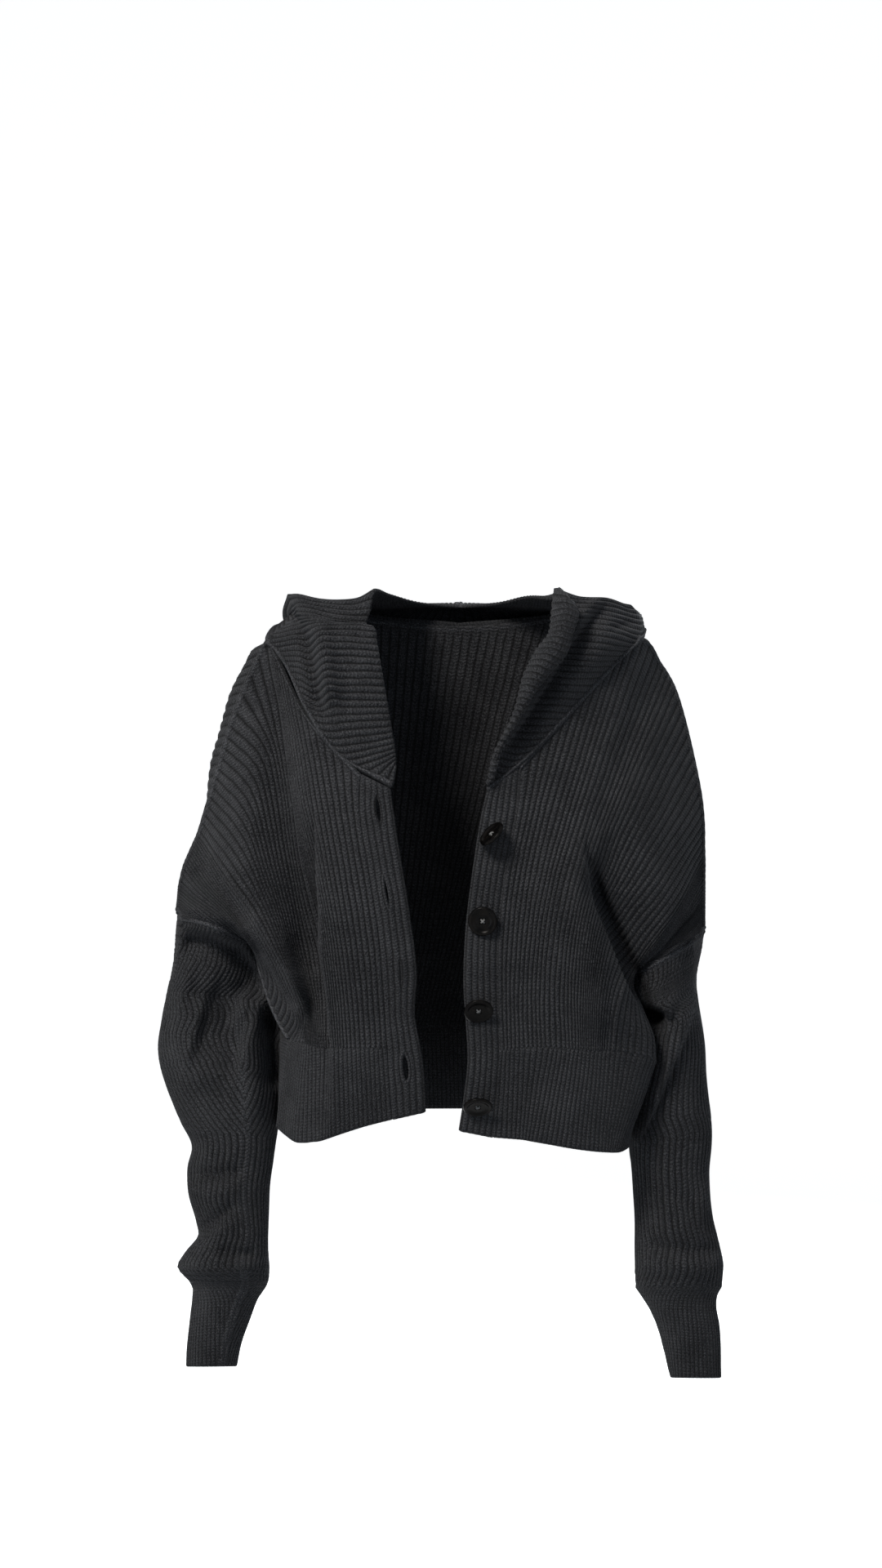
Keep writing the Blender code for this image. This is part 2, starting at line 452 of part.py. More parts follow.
def back(v):
    """From the lower to the upper edge: across, slow at first and then wider;
    in depth, bowed to the table's depth half-way; with soft upright folds."""
    v = np.asarray(v, float)
    mid = (low[:, 0] + top[:, 0]) / 2
    spread = v[None] ** (1 + 0.5 * np.abs(mid - MID) / 300)[:, None]
    grid = low[:, None] * (1 - v)[None, :, None] + top[:, None] * v[None, :, None]
    grid[..., 0] = low[:, :1] * (1 - spread) + top[:, :1] * spread
    tuck = np.interp(low[:, 0], [r[0] for r in BACK_TUCK], [r[1] for r in BACK_TUCK])
    tuck *= np.clip((92 - low[:, 2]) / 84, 0, 1)
    grid[..., 0] += (np.sign(MID - low[:, 0]) * tuck)[:, None] * (6.75 * v * (1 - v) ** 2)[None]
    depth = np.array(BACK_DEPTH, float)
    bow = np.interp(mid, depth[:, 0], depth[:, 1]) - (low[:, 2] + top[:, 2]) / 2
    round_off = (4 * v * (1 - v)) ** 0.75
    grid[..., 2] += bow[:, None] * round_off[None]
    grid[..., 2] -= fold_depth(FOLDS_BACK, grid) * round_off[None]
    return grid


V_BACK = np.concatenate([[0, 0.04], between(0.15, 0.85, 6), [0.96, 1.0]])
seen = inset_grid(lambda s, v: back(v), None, V_BACK, (0, 0), (3 * SEAM, 2 * SEAM))
cloth["back"] = (placed(seen).reshape(-1, 3), outward(seen, flip=True), RIB)

# ----------------------------------------------------------------- hem band
def hem_rows():
    """Upper and lower line of the band from placket to placket, with the
    fronts' and the back's own points along its upper line."""
    s_r, s_l = S_R[S_R <= SIDE_R], S_L[S_L <= SIDE_L]
    low_r, low_l = cubic(np.arange(len(HEM_R)), HEM_R, s_r), cubic(np.arange(len(HEM_L)), HEM_L, s_l)
    low_r[..., 2] += 0.5 * fold_depth(FOLDS_R, low_r)
    upper = np.concatenate([edge_of(front_r, s_r, 0), resampled(WAIST_BACK, n_waist)[1:-1], edge_of(front_l, s_l[::-1], 0)])
    lower = np.concatenate([low_r, resampled(HEM_BACK, n_waist)[1:-1], low_l[::-1]])
    return upper, lower


hem_up, hem_low = hem_rows()


def hem(v):
    """The band between its lower and its upper line."""
    v = np.asarray(v, float)
    return hem_low[:, None] * (1 - v)[None, :, None] + hem_up[:, None] * v[None, :, None]


seen = inset_grid(lambda s, v: hem(v), None, np.array([0, 0.5, 1.0]), (SEAM, SEAM), (0, 2 * SEAM))
cloth["hem_band"] = (placed(seen).reshape(-1, 3), outward(seen, flip=True), FINE)


# ------------------------------------------------------------------ sleeves
def ring(rows, angle, down):
    """Point of the sleeve at an angle from its outer edge (front at a quarter
    turn) and a height: an ellipse between the outer and inner edge."""
    t = np.array(rows, float)
    outer, inner, centre, half = (cubic(t[:, 0], t[:, i], down) for i in (1, 2, 3, 4))
    x = (outer + inner) / 2 + (outer - inner) / 2 * np.cos(angle)
    return np.stack([x, down, centre - half * np.sin(angle)], axis=-1)


def sleeve(rows, loop, last, v):
    """From the armhole loop to the last height. A point keeps its angle, its
    height goes evenly from the loop's to the last, and its distance from the
    ellipse there fades out along the way."""
    n_front = (len(loop) - N_HOLE + 1)
    a = np.concatenate([np.linspace(0, np.pi, n_front + 1)[:-1], np.linspace(np.pi, 2 * np.pi, N_HOLE)[:-1]])
    off = loop - ring(rows, a, loop[:, 1])
    down = loop[:, 1][:, None] * (1 - v)[None] + last * v[None]
    grid = ring(rows, np.repeat(a, len(v)), down.ravel()).reshape(len(a), len(v), 3)
    fade = np.clip(1 - v / 0.3, 0, 1) ** 2
    grid[..., 0] += off[:, 0][:, None] * fade[None]
    grid[..., 2] += off[:, 2][:, None] * fade[None]
    return grid


def armhole_loop(front, s, arm, back_rows):
    """Closed row of points: outer end, front edge, under-arm, back edge."""
    ahead = edge_of(front, s[s >= arm][::-1], 0)
    return np.concatenate([ahead[:-1], resampled(back_rows, N_HOLE)[::-1][:-1]])


V_SLEEVE = np.concatenate([[0, 0.025, 0.07], between(0.14, 0.96, 9), [1.0]])
for name, rows, loop, last, cuff in (
    ("right", SLEEVE_R, armhole_loop(front_r, S_R, ARM_R, ARMHOLE_BACK_R), 1568, CUFF_R),
    ("left", SLEEVE_L, armhole_loop(front_l, S_L, ARM_L, ARMHOLE_BACK_L), 1576, CUFF_L),
):
    seen = sleeve(rows, loop, last, V_SLEEVE)
    full = placed(seen)
    step = np.linalg.norm(full[:, 1] - full[:, 0], axis=1)
    seen[:, 0] += (seen[:, 1] - seen[:, 0]) * np.minimum(2 * SEAM / np.maximum(step, 1e-6), 0.5)[:, None]
    seen[:, -1, 1] -= 0.5
    quads = grid_quads(len(loop), len(V_SLEEVE), closed=True)
    cloth["sleeve_" + name] = (placed(seen).reshape(-1, 3), quads[:, ::-1] if name == "right" else quads, RIB)
    a = np.linspace(0, 2 * np.pi, 19)[:-1]
    downs = np.array([cuff[0][0] + 0.55, cuff[1][0], cuff[3][0] - 4, cuff[-1][0]])
    seen = np.stack([ring(cuff, a, np.full(len(a), d)) for d in downs], axis=1)
    quads = grid_quads(len(a), len(downs), closed=True)
    cloth["cuff_" + name] = (placed(seen).reshape(-1, 3), quads[:, ::-1] if name == "right" else quads, FINE)

# --------------------------------------------------------------------- hood
HOOD_FRONT = between(0, HOOD_SEAM_AT, 8)  # columns from the free edge to the neck seam
HOOD_BACK = between(HOOD_SEAM_AT, 9, 7)  # and on to the centre seam


for name, rows, flip in (("hood_right", HOOD_R, False), ("hood_left", HOOD_L, True)):
    lower = np.array([r[:6] for r in rows], float)  # free edge to neck seam, every wale
    upper = np.array([r for r in rows if len(r) > 6], float)
    q_low, q_all = between(0, 5, 8)[:-1], np.concatenate([between(5, 7, 4), between(7.6, 11, 6)])
    q = np.concatenate([q_low, q_all])
    part = cubic(np.arange(6), np.swapaxes(lower, 0, 1), HOOD_FRONT)
    first = cubic(np.arange(len(rows)), np.swapaxes(part, 0, 1), q)  # (nq, n1, 3)
    part = cubic(np.arange(10), np.swapaxes(upper, 0, 1), HOOD_BACK)
    second = cubic(np.arange(5, len(rows)), np.swapaxes(part, 0, 1), q_all)
    n1, n2, m0 = len(HOOD_FRONT), len(HOOD_BACK), len(q_low)
    # seams: lift the neck seam edge and keep off the centre plane
    side = -1 if name.endswith("right") else 1
    for row in range(m0 + 1):
        first[row, -1] += (first[row, -2] - first[row, -1]) * 0.10
    second[0, 1:, 1] -= 1.2
    second[0, 1:, 2] += 0.6
    second[:, 0] = first[m0:, -1]
    second[..., 0] = np.where(side * (second[..., 0] - MID) < 0.45, MID + side * 0.45, second[..., 0])
    first[..., 0] = np.where(side * (first[..., 0] - MID) < 0.45, MID + side * 0.45, first[..., 0])
    points = np.concatenate([first.reshape(-1, 3), second[:, 1:].reshape(-1, 3)])
    quads = [grid_quads(len(q), n1)]
    base = len(q) * n1
    ids = np.empty((len(q_all), n2), int)
    ids[:, 0] = (m0 + np.arange(len(q_all))) * n1 + n1 - 1
    ids[:, 1:] = base + np.arange(len(q_all) * (n2 - 1)).reshape(len(q_all), n2 - 1)
    g = grid_quads(len(q_all), n2)
    quads.append(ids.ravel()[g])
    quads = np.concatenate(quads)
    cloth[name] = (placed(points), quads if not flip else quads[:, ::-1], RIB)

# ------------------------------------------------------------- cloth solids
walls = mitred(cloth)
for name, (outer, quads, finish) in cloth.items():
    added(name, shell(name, outer, quads, walls[name]), finish, garment)


# -------------------------------------------------------------- buttonholes
def prism(outline, low_y, high_y):
    """Closed prism along Y through the outline's (x, z) points."""
    n = len(outline)
    points = [(x, low_y, z) for x, z in outline] + [(x, high_y, z) for x, z in outline]
    faces = [tuple(range(n)), tuple(range(2 * n - 1, n - 1, -1))]
    faces += [((i + 1) % n, i, i + n, (i + 1) % n + n) for i in range(n)]
    mesh = bpy.data.meshes.new("slit")
    mesh.from_pydata(points, [], faces)
    tidy = bmesh.new()
    tidy.from_mesh(mesh)
    bmesh.ops.recalc_face_normals(tidy, faces=tidy.faces[:])
    tidy.to_mesh(mesh)
    tidy.free()
    return mesh


def depth_at(grid, across, down):
    """Depth of the nearest point of a drawing grid, mm."""
    flat = grid.reshape(-1, 3)
    return flat[np.argmin((flat[:, 0] - across) ** 2 + (flat[:, 1] - down) ** 2), 2]


band_grid = band_r(between(0, 1, 21), between(0, 1, 201))
for k, (across, down, high, wide, lean) in enumerate(BUTTONHOLES):
    depth = depth_at(band_grid, across, down)
    x, y, z = placed([across, down, depth])
    a = np.linspace(0, 2 * np.pi, 13)[:-1]
    u, w = 0.5e-3 * wide * np.cos(a), 0.5e-3 * high * np.sin(a)
    c, s = np.cos(np.radians(lean)), np.sin(np.radians(lean))
    outline = [(x + u[i] * c - w[i] * s, z + u[i] * s + w[i] * c) for i in range(12)]
    cutter = added(f"slit_{k + 1}", prism(outline, y - 0.012, y + 0.012), RIB, helpers)
    cutter.hide_render = True
    cutter.display_type = "WIRE"
    cut = garment.objects["placket_right"].modifiers.new(f"slit_{k + 1}", "BOOLEAN")
    cut.operation, cut.solver, cut.object = "DIFFERENCE", "EXACT", cutter


# ------------------------------------------------------------------ buttons
def turned(profile, steps):
    """Closed solid of revolution about Z from (radius, height) points that
    start and end on the axis."""
    a = np.linspace(0, 2 * np.pi, steps + 1)[:-1]
    inner = profile[1:-1]
    points = [(0, 0, profile[0][1])] + [(r * np.cos(t), r * np.sin(t), h) for r, h in inner for t in a] + [(0, 0, profile[-1][1])]
    last = len(points) - 1
    faces = [(0, 1 + i, 1 + (i + 1) % steps) for i in range(steps)]
    for ring_at in range(len(inner) - 1):
        p, q = 1 + ring_at * steps, 1 + (ring_at + 1) * steps
        faces += [(p + i, q + i, q + (i + 1) % steps, p + (i + 1) % steps) for i in range(steps)]
    p = 1 + (len(inner) - 1) * steps
    faces += [(last, p + (i + 1) % steps, p + i) for i in range(steps)]
    mesh = bpy.data.meshes.new("turned")
    mesh.from_pydata(points, [], faces)
    tidy = bmesh.new()
    tidy.from_mesh(mesh)
    bmesh.ops.recalc_face_normals(tidy, faces=tidy.faces[:])
    tidy.to_mesh(mesh)
    tidy.free()
    return mesh


R, T = BUTTON_R, BUTTON_T
DISH = [(0, -T / 2), (0.82 * R, -T / 2), (R, -0.1 * T), (0.97 * R, 0.3 * T), (0.84 * R, T / 2), (0.70 * R, 0.30 * T),
        (0.62 * R, 0.14 * T), (0, 0.14 * T)]
rests = [band_l(between(0, 1, 41), between(0, 1, 401)), front_l(between(0, 2, 21), between(0, 1, 401))]
rests = placed(np.concatenate([r.reshape(-1, 3) for r in rests]))
flat_band = placed(band_l(between(0, 1, 41), between(0, 1, 401))).reshape(-1, 3)
for k, (across, down, right, up) in enumerate(BUTTONS):
    az, el = np.radians(right), np.radians(up)
    face = np.array([np.cos(el) * np.sin(az), -np.cos(el) * np.cos(az), np.sin(el)])
    side = np.cross([0, 0, 1.0], face)
    side /= np.linalg.norm(side)
    turn = np.stack([side, np.cross(face, side), face], axis=1)
    mesh = turned(DISH, 20)
    button = added(f"button_{k + 1}", mesh, HORN, garment)
    body = np.array([v.co for v in mesh.vertices]) @ turn.T
    # Brought forward until it clears the band by the seat gap.
    depth = depth_at(band_l(between(0, 1, 21), between(0, 1, 201)), across, down)
    at = placed([across, down, depth])
    place = at.copy()
    for forward in np.arange(0, 20e-3, 0.05e-3):
        place = placed([across, down, depth]) + [0, -forward, 0]
        shape = body + place
        near = rests[(np.abs(rests[:, 0] - at[0]) < 1.3 * R) & (np.abs(rests[:, 2] - at[2]) < 1.3 * R)]
        gap = ((near[:, None] - shape[None]) ** 2).sum(-1)
        ahead = near[gap.argmin(0), 1] - shape[:, 1]
        if ahead.min() > SEAT and np.sqrt(gap.min()) > SEAT:
            break
    shape = body + place
    mesh.vertices.foreach_set("co", shape.astype(np.float32).ravel())
    for i in range(4):
        t = np.pi / 4 + i * np.pi / 2
        hole = turned([(0, -3e-3), (1.05e-3, -3e-3), (1.05e-3, 3e-3), (0, 3e-3)], 8)
        spots = np.array([v.co for v in hole.vertices]) + [2.5e-3 * np.cos(t), 2.5e-3 * np.sin(t), 0]
        hole.vertices.foreach_set("co", (spots @ turn.T + place).astype(np.float32).ravel())
        cutter = added(f"thread_hole_{k + 1}_{i + 1}", hole, HORN, helpers)
        cutter.hide_render = True
        cutter.display_type = "WIRE"
        cut = button.modifiers.new(f"hole_{i + 1}", "BOOLEAN")
        cut.operation, cut.solver, cut.object = "DIFFERENCE", "EXACT", cutter

print("built", len(garment.objects), "pieces")
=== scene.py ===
# %% [markdown]
# # A hooded cardigan in chunky rib
#
# The garment is knitted from a charcoal melange yarn: two fronts and a back in
# a chunky half-cardigan rib, a hem band and cuffs in a finer rib, a hood folded
# down, a front band with upright buttonholes and four horn buttons.
#
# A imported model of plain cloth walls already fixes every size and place. This
# script makes what is seen: the same surfaces again, sampled finely enough to
# carry each rib as real relief, and the yarn's colour and stitches on top.

# %% Load the fixed frame
import bpy
import numpy as np
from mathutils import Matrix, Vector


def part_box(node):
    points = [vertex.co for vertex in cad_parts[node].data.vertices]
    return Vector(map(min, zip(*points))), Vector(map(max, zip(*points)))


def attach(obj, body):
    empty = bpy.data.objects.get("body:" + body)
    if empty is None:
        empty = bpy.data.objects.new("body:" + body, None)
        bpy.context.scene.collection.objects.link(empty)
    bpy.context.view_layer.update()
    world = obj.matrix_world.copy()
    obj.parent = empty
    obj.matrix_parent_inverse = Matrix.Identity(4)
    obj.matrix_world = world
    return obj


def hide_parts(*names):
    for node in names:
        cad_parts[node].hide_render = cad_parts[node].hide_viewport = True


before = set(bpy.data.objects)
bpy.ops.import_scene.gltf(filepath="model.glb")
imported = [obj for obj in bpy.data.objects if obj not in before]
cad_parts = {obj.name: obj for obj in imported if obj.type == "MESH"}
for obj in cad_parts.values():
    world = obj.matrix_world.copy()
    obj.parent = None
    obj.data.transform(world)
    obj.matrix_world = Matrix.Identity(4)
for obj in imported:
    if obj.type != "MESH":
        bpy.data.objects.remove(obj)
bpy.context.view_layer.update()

# %% [markdown]
# ## The drawing grid
#
# A garment cutter draws on a flat grid. Ours is the front view, with squares of
# 0.76 mm: a point is given by its column, its row and its depth in millimetres
# behind the middle plane. Seen from 2.5 m away, a nearer point looks larger, so
# one small function turns a drawn point into a real place in metres.

# %% From the drawing to metres
GRID, MID, ORIGIN_DOWN = 0.76e-3, 562.0, 787.0
EYE_DOWN, EYE_AWAY = 960.0, 2.5
EYE_UP = (ORIGIN_DOWN - EYE_DOWN) * GRID


def placed(seen):
    """Metres from (across, down, depth mm): each length grows by (2.5 m + depth) / 2.5 m."""
    q = np.asarray(seen, float)
    y = q[..., 2] * 1e-3
    k = 1 + y / EYE_AWAY
    return np.stack([(q[..., 0] - MID) * GRID * k, y, EYE_UP + (EYE_DOWN - q[..., 1]) * GRID * k], axis=-1)


def drawn(points):
    """The reverse of placed: (across, down, depth mm) of points in metres."""
    k = 1 + points[..., 1] / EYE_AWAY
    return np.stack([MID + points[..., 0] / (GRID * k), EYE_DOWN - (points[..., 2] - EYE_UP) / (GRID * k),
                     points[..., 1] * 1e3], axis=-1)


print("one square is", GRID * 1000, "mm")

# %% Smooth curves through a few known points
def cubic(knots, values, at):
    """Smooth curve through values at knots: a cubic in each span, whose slopes
    at the knots are the span slopes weighted by the neighbouring lengths."""
    k, y, t = np.asarray(knots, float), np.asarray(values, float), np.asarray(at, float)
    h = np.diff(k)
    w = h.reshape((-1,) + (1,) * (y.ndim - 1))
    d = np.diff(y, axis=0) / w
    m = np.empty_like(y)
    m[1:-1] = (w[:-1] * d[1:] + w[1:] * d[:-1]) / (w[:-1] + w[1:])
    m[0], m[-1] = d[0], d[-1]
    i = np.clip(np.searchsorted(k, t, side="right") - 1, 0, len(h) - 1)
    u = ((t - k[i]) / h[i]).reshape((-1,) + (1,) * (y.ndim - 1))
    hi = h[i].reshape(u.shape)
    return ((1 + 2 * u) * (1 - u) ** 2 * y[i] + u * (1 - u) ** 2 * hi * m[i]
            + u * u * (3 - 2 * u) * y[i + 1] + u * u * (u - 1) * hi * m[i + 1])


def lengths(points, axis=0):
    """Running length along a row of points, or along every line of a grid in the direction of axis."""
    step = np.linalg.norm(np.diff(points, axis=axis), axis=-1)
    return np.concatenate([np.zeros_like(step.take([0], axis)), np.cumsum(step, axis)], axis)


def resampled(points, n):
    """n points evenly spaced by real length along a smooth curve through drawn points."""
    p = np.array(points, float)
    fine = cubic(lengths(placed(p)), p, np.linspace(0, lengths(placed(p))[-1], 400))
    k = lengths(placed(fine))
    want = np.linspace(0, k[-1], n)
    return np.stack([np.interp(want, k, fine[:, i]) for i in range(3)], axis=1)


# %% [markdown]
# ## The cut of each panel
#
# Each table holds one row for each of a few rib lines, called wales, and in it
# the points along that wale from one seam to the other. A surface through them
# follows the knit itself: one parameter counts wales, the other runs along them.

# %% Front bands and fronts
# Front edge and inner line of the two front bands, hem to neck.
BAND_R_EDGE = [(520, 1361, -118), (518, 1315, -121), (513, 1280, -124), (507, 1246, -126), (509, 1195, -128),
               (502, 1130, -128), (491, 1060, -126), (481, 998, -122), (477, 967, -118)]
# The inner lines are given below the waist; above it they are the fronts' first wales.
BAND_R_INNER = [(480, 1370, -117), (478, 1340, -120), (476, 1312, -122)]
BAND_L_EDGE = [(563, 1384, -118), (569, 1345, -122), (574, 1300, -125), (572, 1258, -127), (569, 1205, -129),
               (572, 1130, -129), (582, 1053, -127), (591, 998, -122), (598, 969, -118)]
BAND_L_INNER = [(604, 1392, -117), (608, 1357, -120), (611, 1320, -123)]

# Wales of the right front from its lower seam up to the neck or shoulder seam.
# The last rows leave the hem at the side seam (E), the under-arm (U) and meet at
# the outer end of the armhole (D).
FRONT_R = [
    [(474, 1284, -124), (469, 1208, -128), (463, 1140, -129), (452, 1068, -127), (441, 1000, -121), (441, 949, -112)],
    [(437, 1284, -122), (432, 1215, -127), (424, 1150, -128), (411, 1072, -125), (396, 985, -113), (377, 879, -84)],
    [(412, 1284, -120), (407, 1215, -124), (399, 1150, -125), (383, 1062, -118), (364, 962, -100), (337, 799, -44)],
    [(398, 1284, -118), (391, 1218, -121), (384, 1152, -121), (368, 1058, -112), (352, 938, -88), (327, 783, -28)],
    [(391, 1284, -111), (382, 1220, -108), (370, 1150, -104), (350, 1043, -97), (329, 925, -78), (288, 868, -36)],
    [(382, 1281, -104), (378, 1228, -99), (358, 1160, -97), (332, 1068, -90), (307, 980, -74), (268, 935, -32)],
    [(370, 1277, -92), (372, 1238, -99), (350, 1182, -101), (318, 1114, -96), (287, 1066, -80), (246, 1010, -19)],
    [(353, 1272, -58), (362, 1245, -82), (341, 1194, -92), (304, 1130, -90), (270, 1080, -74), (239, 1029, -13)],
    [(333, 1235, -44), (337, 1204, -64), (316, 1160, -74), (287, 1118, -76), (258, 1086, -62), (231, 1047, -8)],
    [(321, 1195, -34), (314, 1168, -54), (297, 1142, -66), (274, 1116, -67), (249, 1092, -53), (225, 1062, -5)],
    [(307, 1156, -26), (299, 1147, -44), (284, 1133, -57), (265, 1118, -59), (244, 1103, -48), (220, 1083, -3)],
    [(264, 1132, -56), (257, 1129, -55), (249, 1125, -52), (240, 1119, -46), (230, 1111, -34), (218, 1102, -2)],
    [(224, 1124, -24), (223, 1122, -21), (221, 1120, -18), (220, 1118, -14), (219, 1117, -10), (217, 1116, -2)],
]


FRONT_L = [
    [(613, 1286, -125), (610, 1215, -128), (611, 1140, -128), (619, 1070, -126), (632, 1000, -119), (638, 937, -106)],
    [(634, 1284, -124), (633, 1215, -127), (637, 1145, -128), (647, 1070, -124), (666, 985, -112), (697, 874, -80)],
    [(652, 1283, -123), (650, 1215, -126), (655, 1145, -127), (668, 1070, -123), (691, 985, -108), (738, 829, -58)],
    [(672, 1283, -121), (670, 1215, -125), (676, 1145, -126), (690, 1070, -120), (717, 985, -102), (784, 782, -22)],
    [(694, 1284, -118), (692, 1215, -123), (698, 1145, -122), (714, 1072, -112), (742, 985, -88), (808, 810, 6)],
    [(712, 1285, -115), (712, 1215, -118), (718, 1145, -112), (736, 1075, -90), (772, 985, -76), (832, 858, 12)],
    [(730, 1286, -108), (732, 1222, -104), (742, 1160, -86), (762, 1118, -74), (804, 1060, -66), (858, 972, 15)],
    [(752, 1287, -94), (756, 1244, -84), (766, 1206, -68), (785, 1166, -62), (822, 1116, -54), (862, 1045, 13)],
    [(802, 1297, -76), (800, 1270, -72), (787, 1236, -64), (776, 1197, -56), (818, 1145, -48), (862, 1072, 11)],
    [(786, 1307, -56), (781, 1268, -42), (772, 1228, -38), (770, 1195, -44), (814, 1158, -44), (862, 1096, 10)],
    [(760, 1208, -26), (763, 1203, -34), (769, 1195, -42), (788, 1180, -47), (824, 1151, -41), (862, 1112, 9)],
    [(800, 1179, -49), (808, 1173, -48), (818, 1166, -46), (830, 1157, -41), (845, 1146, -26), (862, 1126, 8)],
    [(850, 1150, -22), (853, 1148, -19), (855, 1146, -15), (858, 1144, -10), (860, 1142, -5), (862, 1138, 4)],
]
# Rows of each table where the neck meets the shoulder, the side seam meets the hem, and the under-arm is.
NECK_R, SIDE_R, ARM_R = 3, 7, 10
NECK_L, SIDE_L, ARM_L = 3, 9, 10

# Back neck seam and the back halves of the armholes, from the front's last point.
NECK_BACK = [(327, 783, -28), (343, 766, 14), (352, 757, 38), (400, 752, 62), (480, 761, 78), (562, 768, 84),
             (644, 761, 79), (722, 752, 63), (770, 757, 38), (783, 766, 16), (784, 782, -22)]
ARMHOLE_BACK_R = [(217, 1116, -2), (225, 1122, 36), (250, 1138, 62), (285, 1160, 62), (308, 1172, 30), (307, 1156, -26)]
ARMHOLE_BACK_L = [(862, 1138, 4), (855, 1142, 40), (830, 1156, 64), (797, 1178, 60), (770, 1200, 26), (760, 1208, -26)]
# The hem band: its upper line behind the side seams and its lower line all round.
WAIST_BACK = [(353, 1272, -58), (344, 1272, -22), (347, 1270, 22), (362, 1266, 62), (400, 1263, 90), (470, 1261, 104),
              (562, 1260, 108), (654, 1261, 104), (722, 1264, 90), (756, 1270, 60), (768, 1282, 20), (774, 1296, -18),
              (786, 1307, -56)]
HEM_R = [(480, 1370, -117), (441, 1380, -116), (414, 1389, -114), (398, 1394, -112), (391, 1396, -110),
         (382, 1397, -106), (360, 1397, -92), (338, 1380, -52)]
HEM_L = [(604, 1392, -117), (630, 1394, -117), (641, 1395, -116), (652, 1397, -116), (675, 1401, -115),
         (697, 1405, -112), (718, 1408, -108), (740, 1410, -102), (761, 1410, -90), (771, 1404, -58)]
HEM_BACK = [(338, 1380, -52), (340, 1376, -18), (344, 1371, 22), (360, 1365, 62), (400, 1360, 88), (470, 1357, 101),
            (562, 1356, 105), (654, 1357, 101), (722, 1361, 88), (752, 1368, 58), (760, 1380, 20), (764, 1392, -18),
            (771, 1404, -58)]

# Sleeves: one row per height, with outer and inner edge across, centre depth and half depth.
SLEEVE_R = [(1080, 217, 304, 2, 60), (1130, 216, 306, 2, 60), (1184, 211, 313, 1, 58), (1215, 205, 320, 0, 57),
            (1240, 200, 325, -1, 56), (1292, 195, 331, -3, 55), (1327, 203, 334, -5, 53), (1373, 221, 336, -8, 50),
            (1404, 236, 334, -9, 47), (1430, 230, 333, -10, 46), (1460, 230, 330, -12, 46), (1496, 241, 328, -14, 43),
            (1513, 244, 328, -15, 42), (1534, 227, 329, -16, 45), (1552, 218, 330, -17, 46),
            (1568, 232, 328, -18, 39)]
SLEEVE_L = [(1100, 862, 764, 6, 58), (1150, 861, 767, 5, 58), (1200, 853, 780, 4, 57), (1235, 856, 787, 3, 55),
            (1286, 863, 788, 1, 53), (1337, 866, 784, -2, 51), (1404, 871, 775, -6, 47), (1439, 868, 775, -8, 46),
            (1480, 871, 777, -10, 45), (1526, 881, 778, -13, 43), (1547, 885, 779, -15, 43), (1576, 883, 779, -17, 38)]
CUFF_R = [(1568, 232, 328, -18, 39), (1576, 236, 325, -18, 35), (1588, 236, 317, -18, 32), (1613, 233, 307, -19, 30),
          (1640, 230, 297, -20, 29), (1672, 228, 290, -21, 28)]
CUFF_L = [(1576, 883, 779, -17, 38), (1584, 879, 785, -17, 35), (1598, 877, 794, -18, 32), (1620, 880, 804, -19, 30),
          (1650, 882, 813, -20, 29), (1686, 883, 822, -21, 28)]

# Hood halves: one row per wale from the free edge (first) over the turned lapel and
# the roll to the neck seam (sixth), and for the upper wales on to the centre seam.
HOOD_SEAM = [(562, 742, 90), (562, 738, 104), (562, 741, 118), (562, 752, 130), (562, 770, 140), (562, 795, 148),
             (562, 828, 154), (562, 860, 158), (562, 888, 160), (562, 908, 159)]
HOOD_R = [
    [(484, 938, -112), (483, 943, -113), (482, 948, -114), (481, 953, -115), (480, 958, -116), (478, 963, -117)],
    [(481, 912, -112), (466, 916, -112), (452, 919, -110), (438, 922, -107), (425, 924, -105), (412, 923, -101)],
    [(474, 868, -108), (455, 868, -110), (436, 868, -108), (416, 869, -104), (395, 871, -97), (374, 868, -86)],
    [(466, 820, -102), (446, 819, -106), (424, 819, -105), (400, 821, -101), (378, 823, -90), (353, 821, -62)],
    [(460, 785, -97), (440, 783, -101), (418, 781, -101), (396, 784, -95), (370, 790, -72), (337, 796, -42)],
    [(457, 768, -94), (436, 765, -97), (414, 765, -95), (392, 766, -88), (366, 774, -62), (327, 783, -28),
     (343, 764, 16), (400, 750, 64), (480, 758, 80), (562, 765, 86)],
    [(447, 764, -70), (428, 762, -72), (406, 759, -68), (384, 753, -58), (364, 753, -36), (357, 758, -4),
     (358, 752, 38), (400, 763, 80), (480, 776, 96), (562, 783, 102)],
    [(452, 745, -62), (432, 747, -60), (410, 745, -54), (386, 741, -46), (366, 738, -26), (357, 744, 4),
     (358, 758, 56), (398, 795, 102), (480, 812, 118), (562, 820, 122)],
    [(457, 722, -48), (438, 733, -44), (412, 735, -38), (386, 733, -32), (366, 728, -14), (353, 728, 14),
     (350, 762, 80), (398, 830, 124), (480, 862, 134), (562, 876, 137)],
    [(478, 728, 10), (458, 735, 20), (434, 738, 28), (410, 738, 40), (388, 737, 54), (368, 742, 76), (362, 785, 108),
     (402, 858, 138), (480, 902, 145), (562, 913, 147)],
    [(515, 738, 62), (496, 740, 73), (474, 742, 84), (452, 745, 96), (428, 751, 108), (402, 765, 124),
     (400, 815, 142), (432, 872, 151), (490, 904, 154), (562, 914, 155)],
    HOOD_SEAM,
]
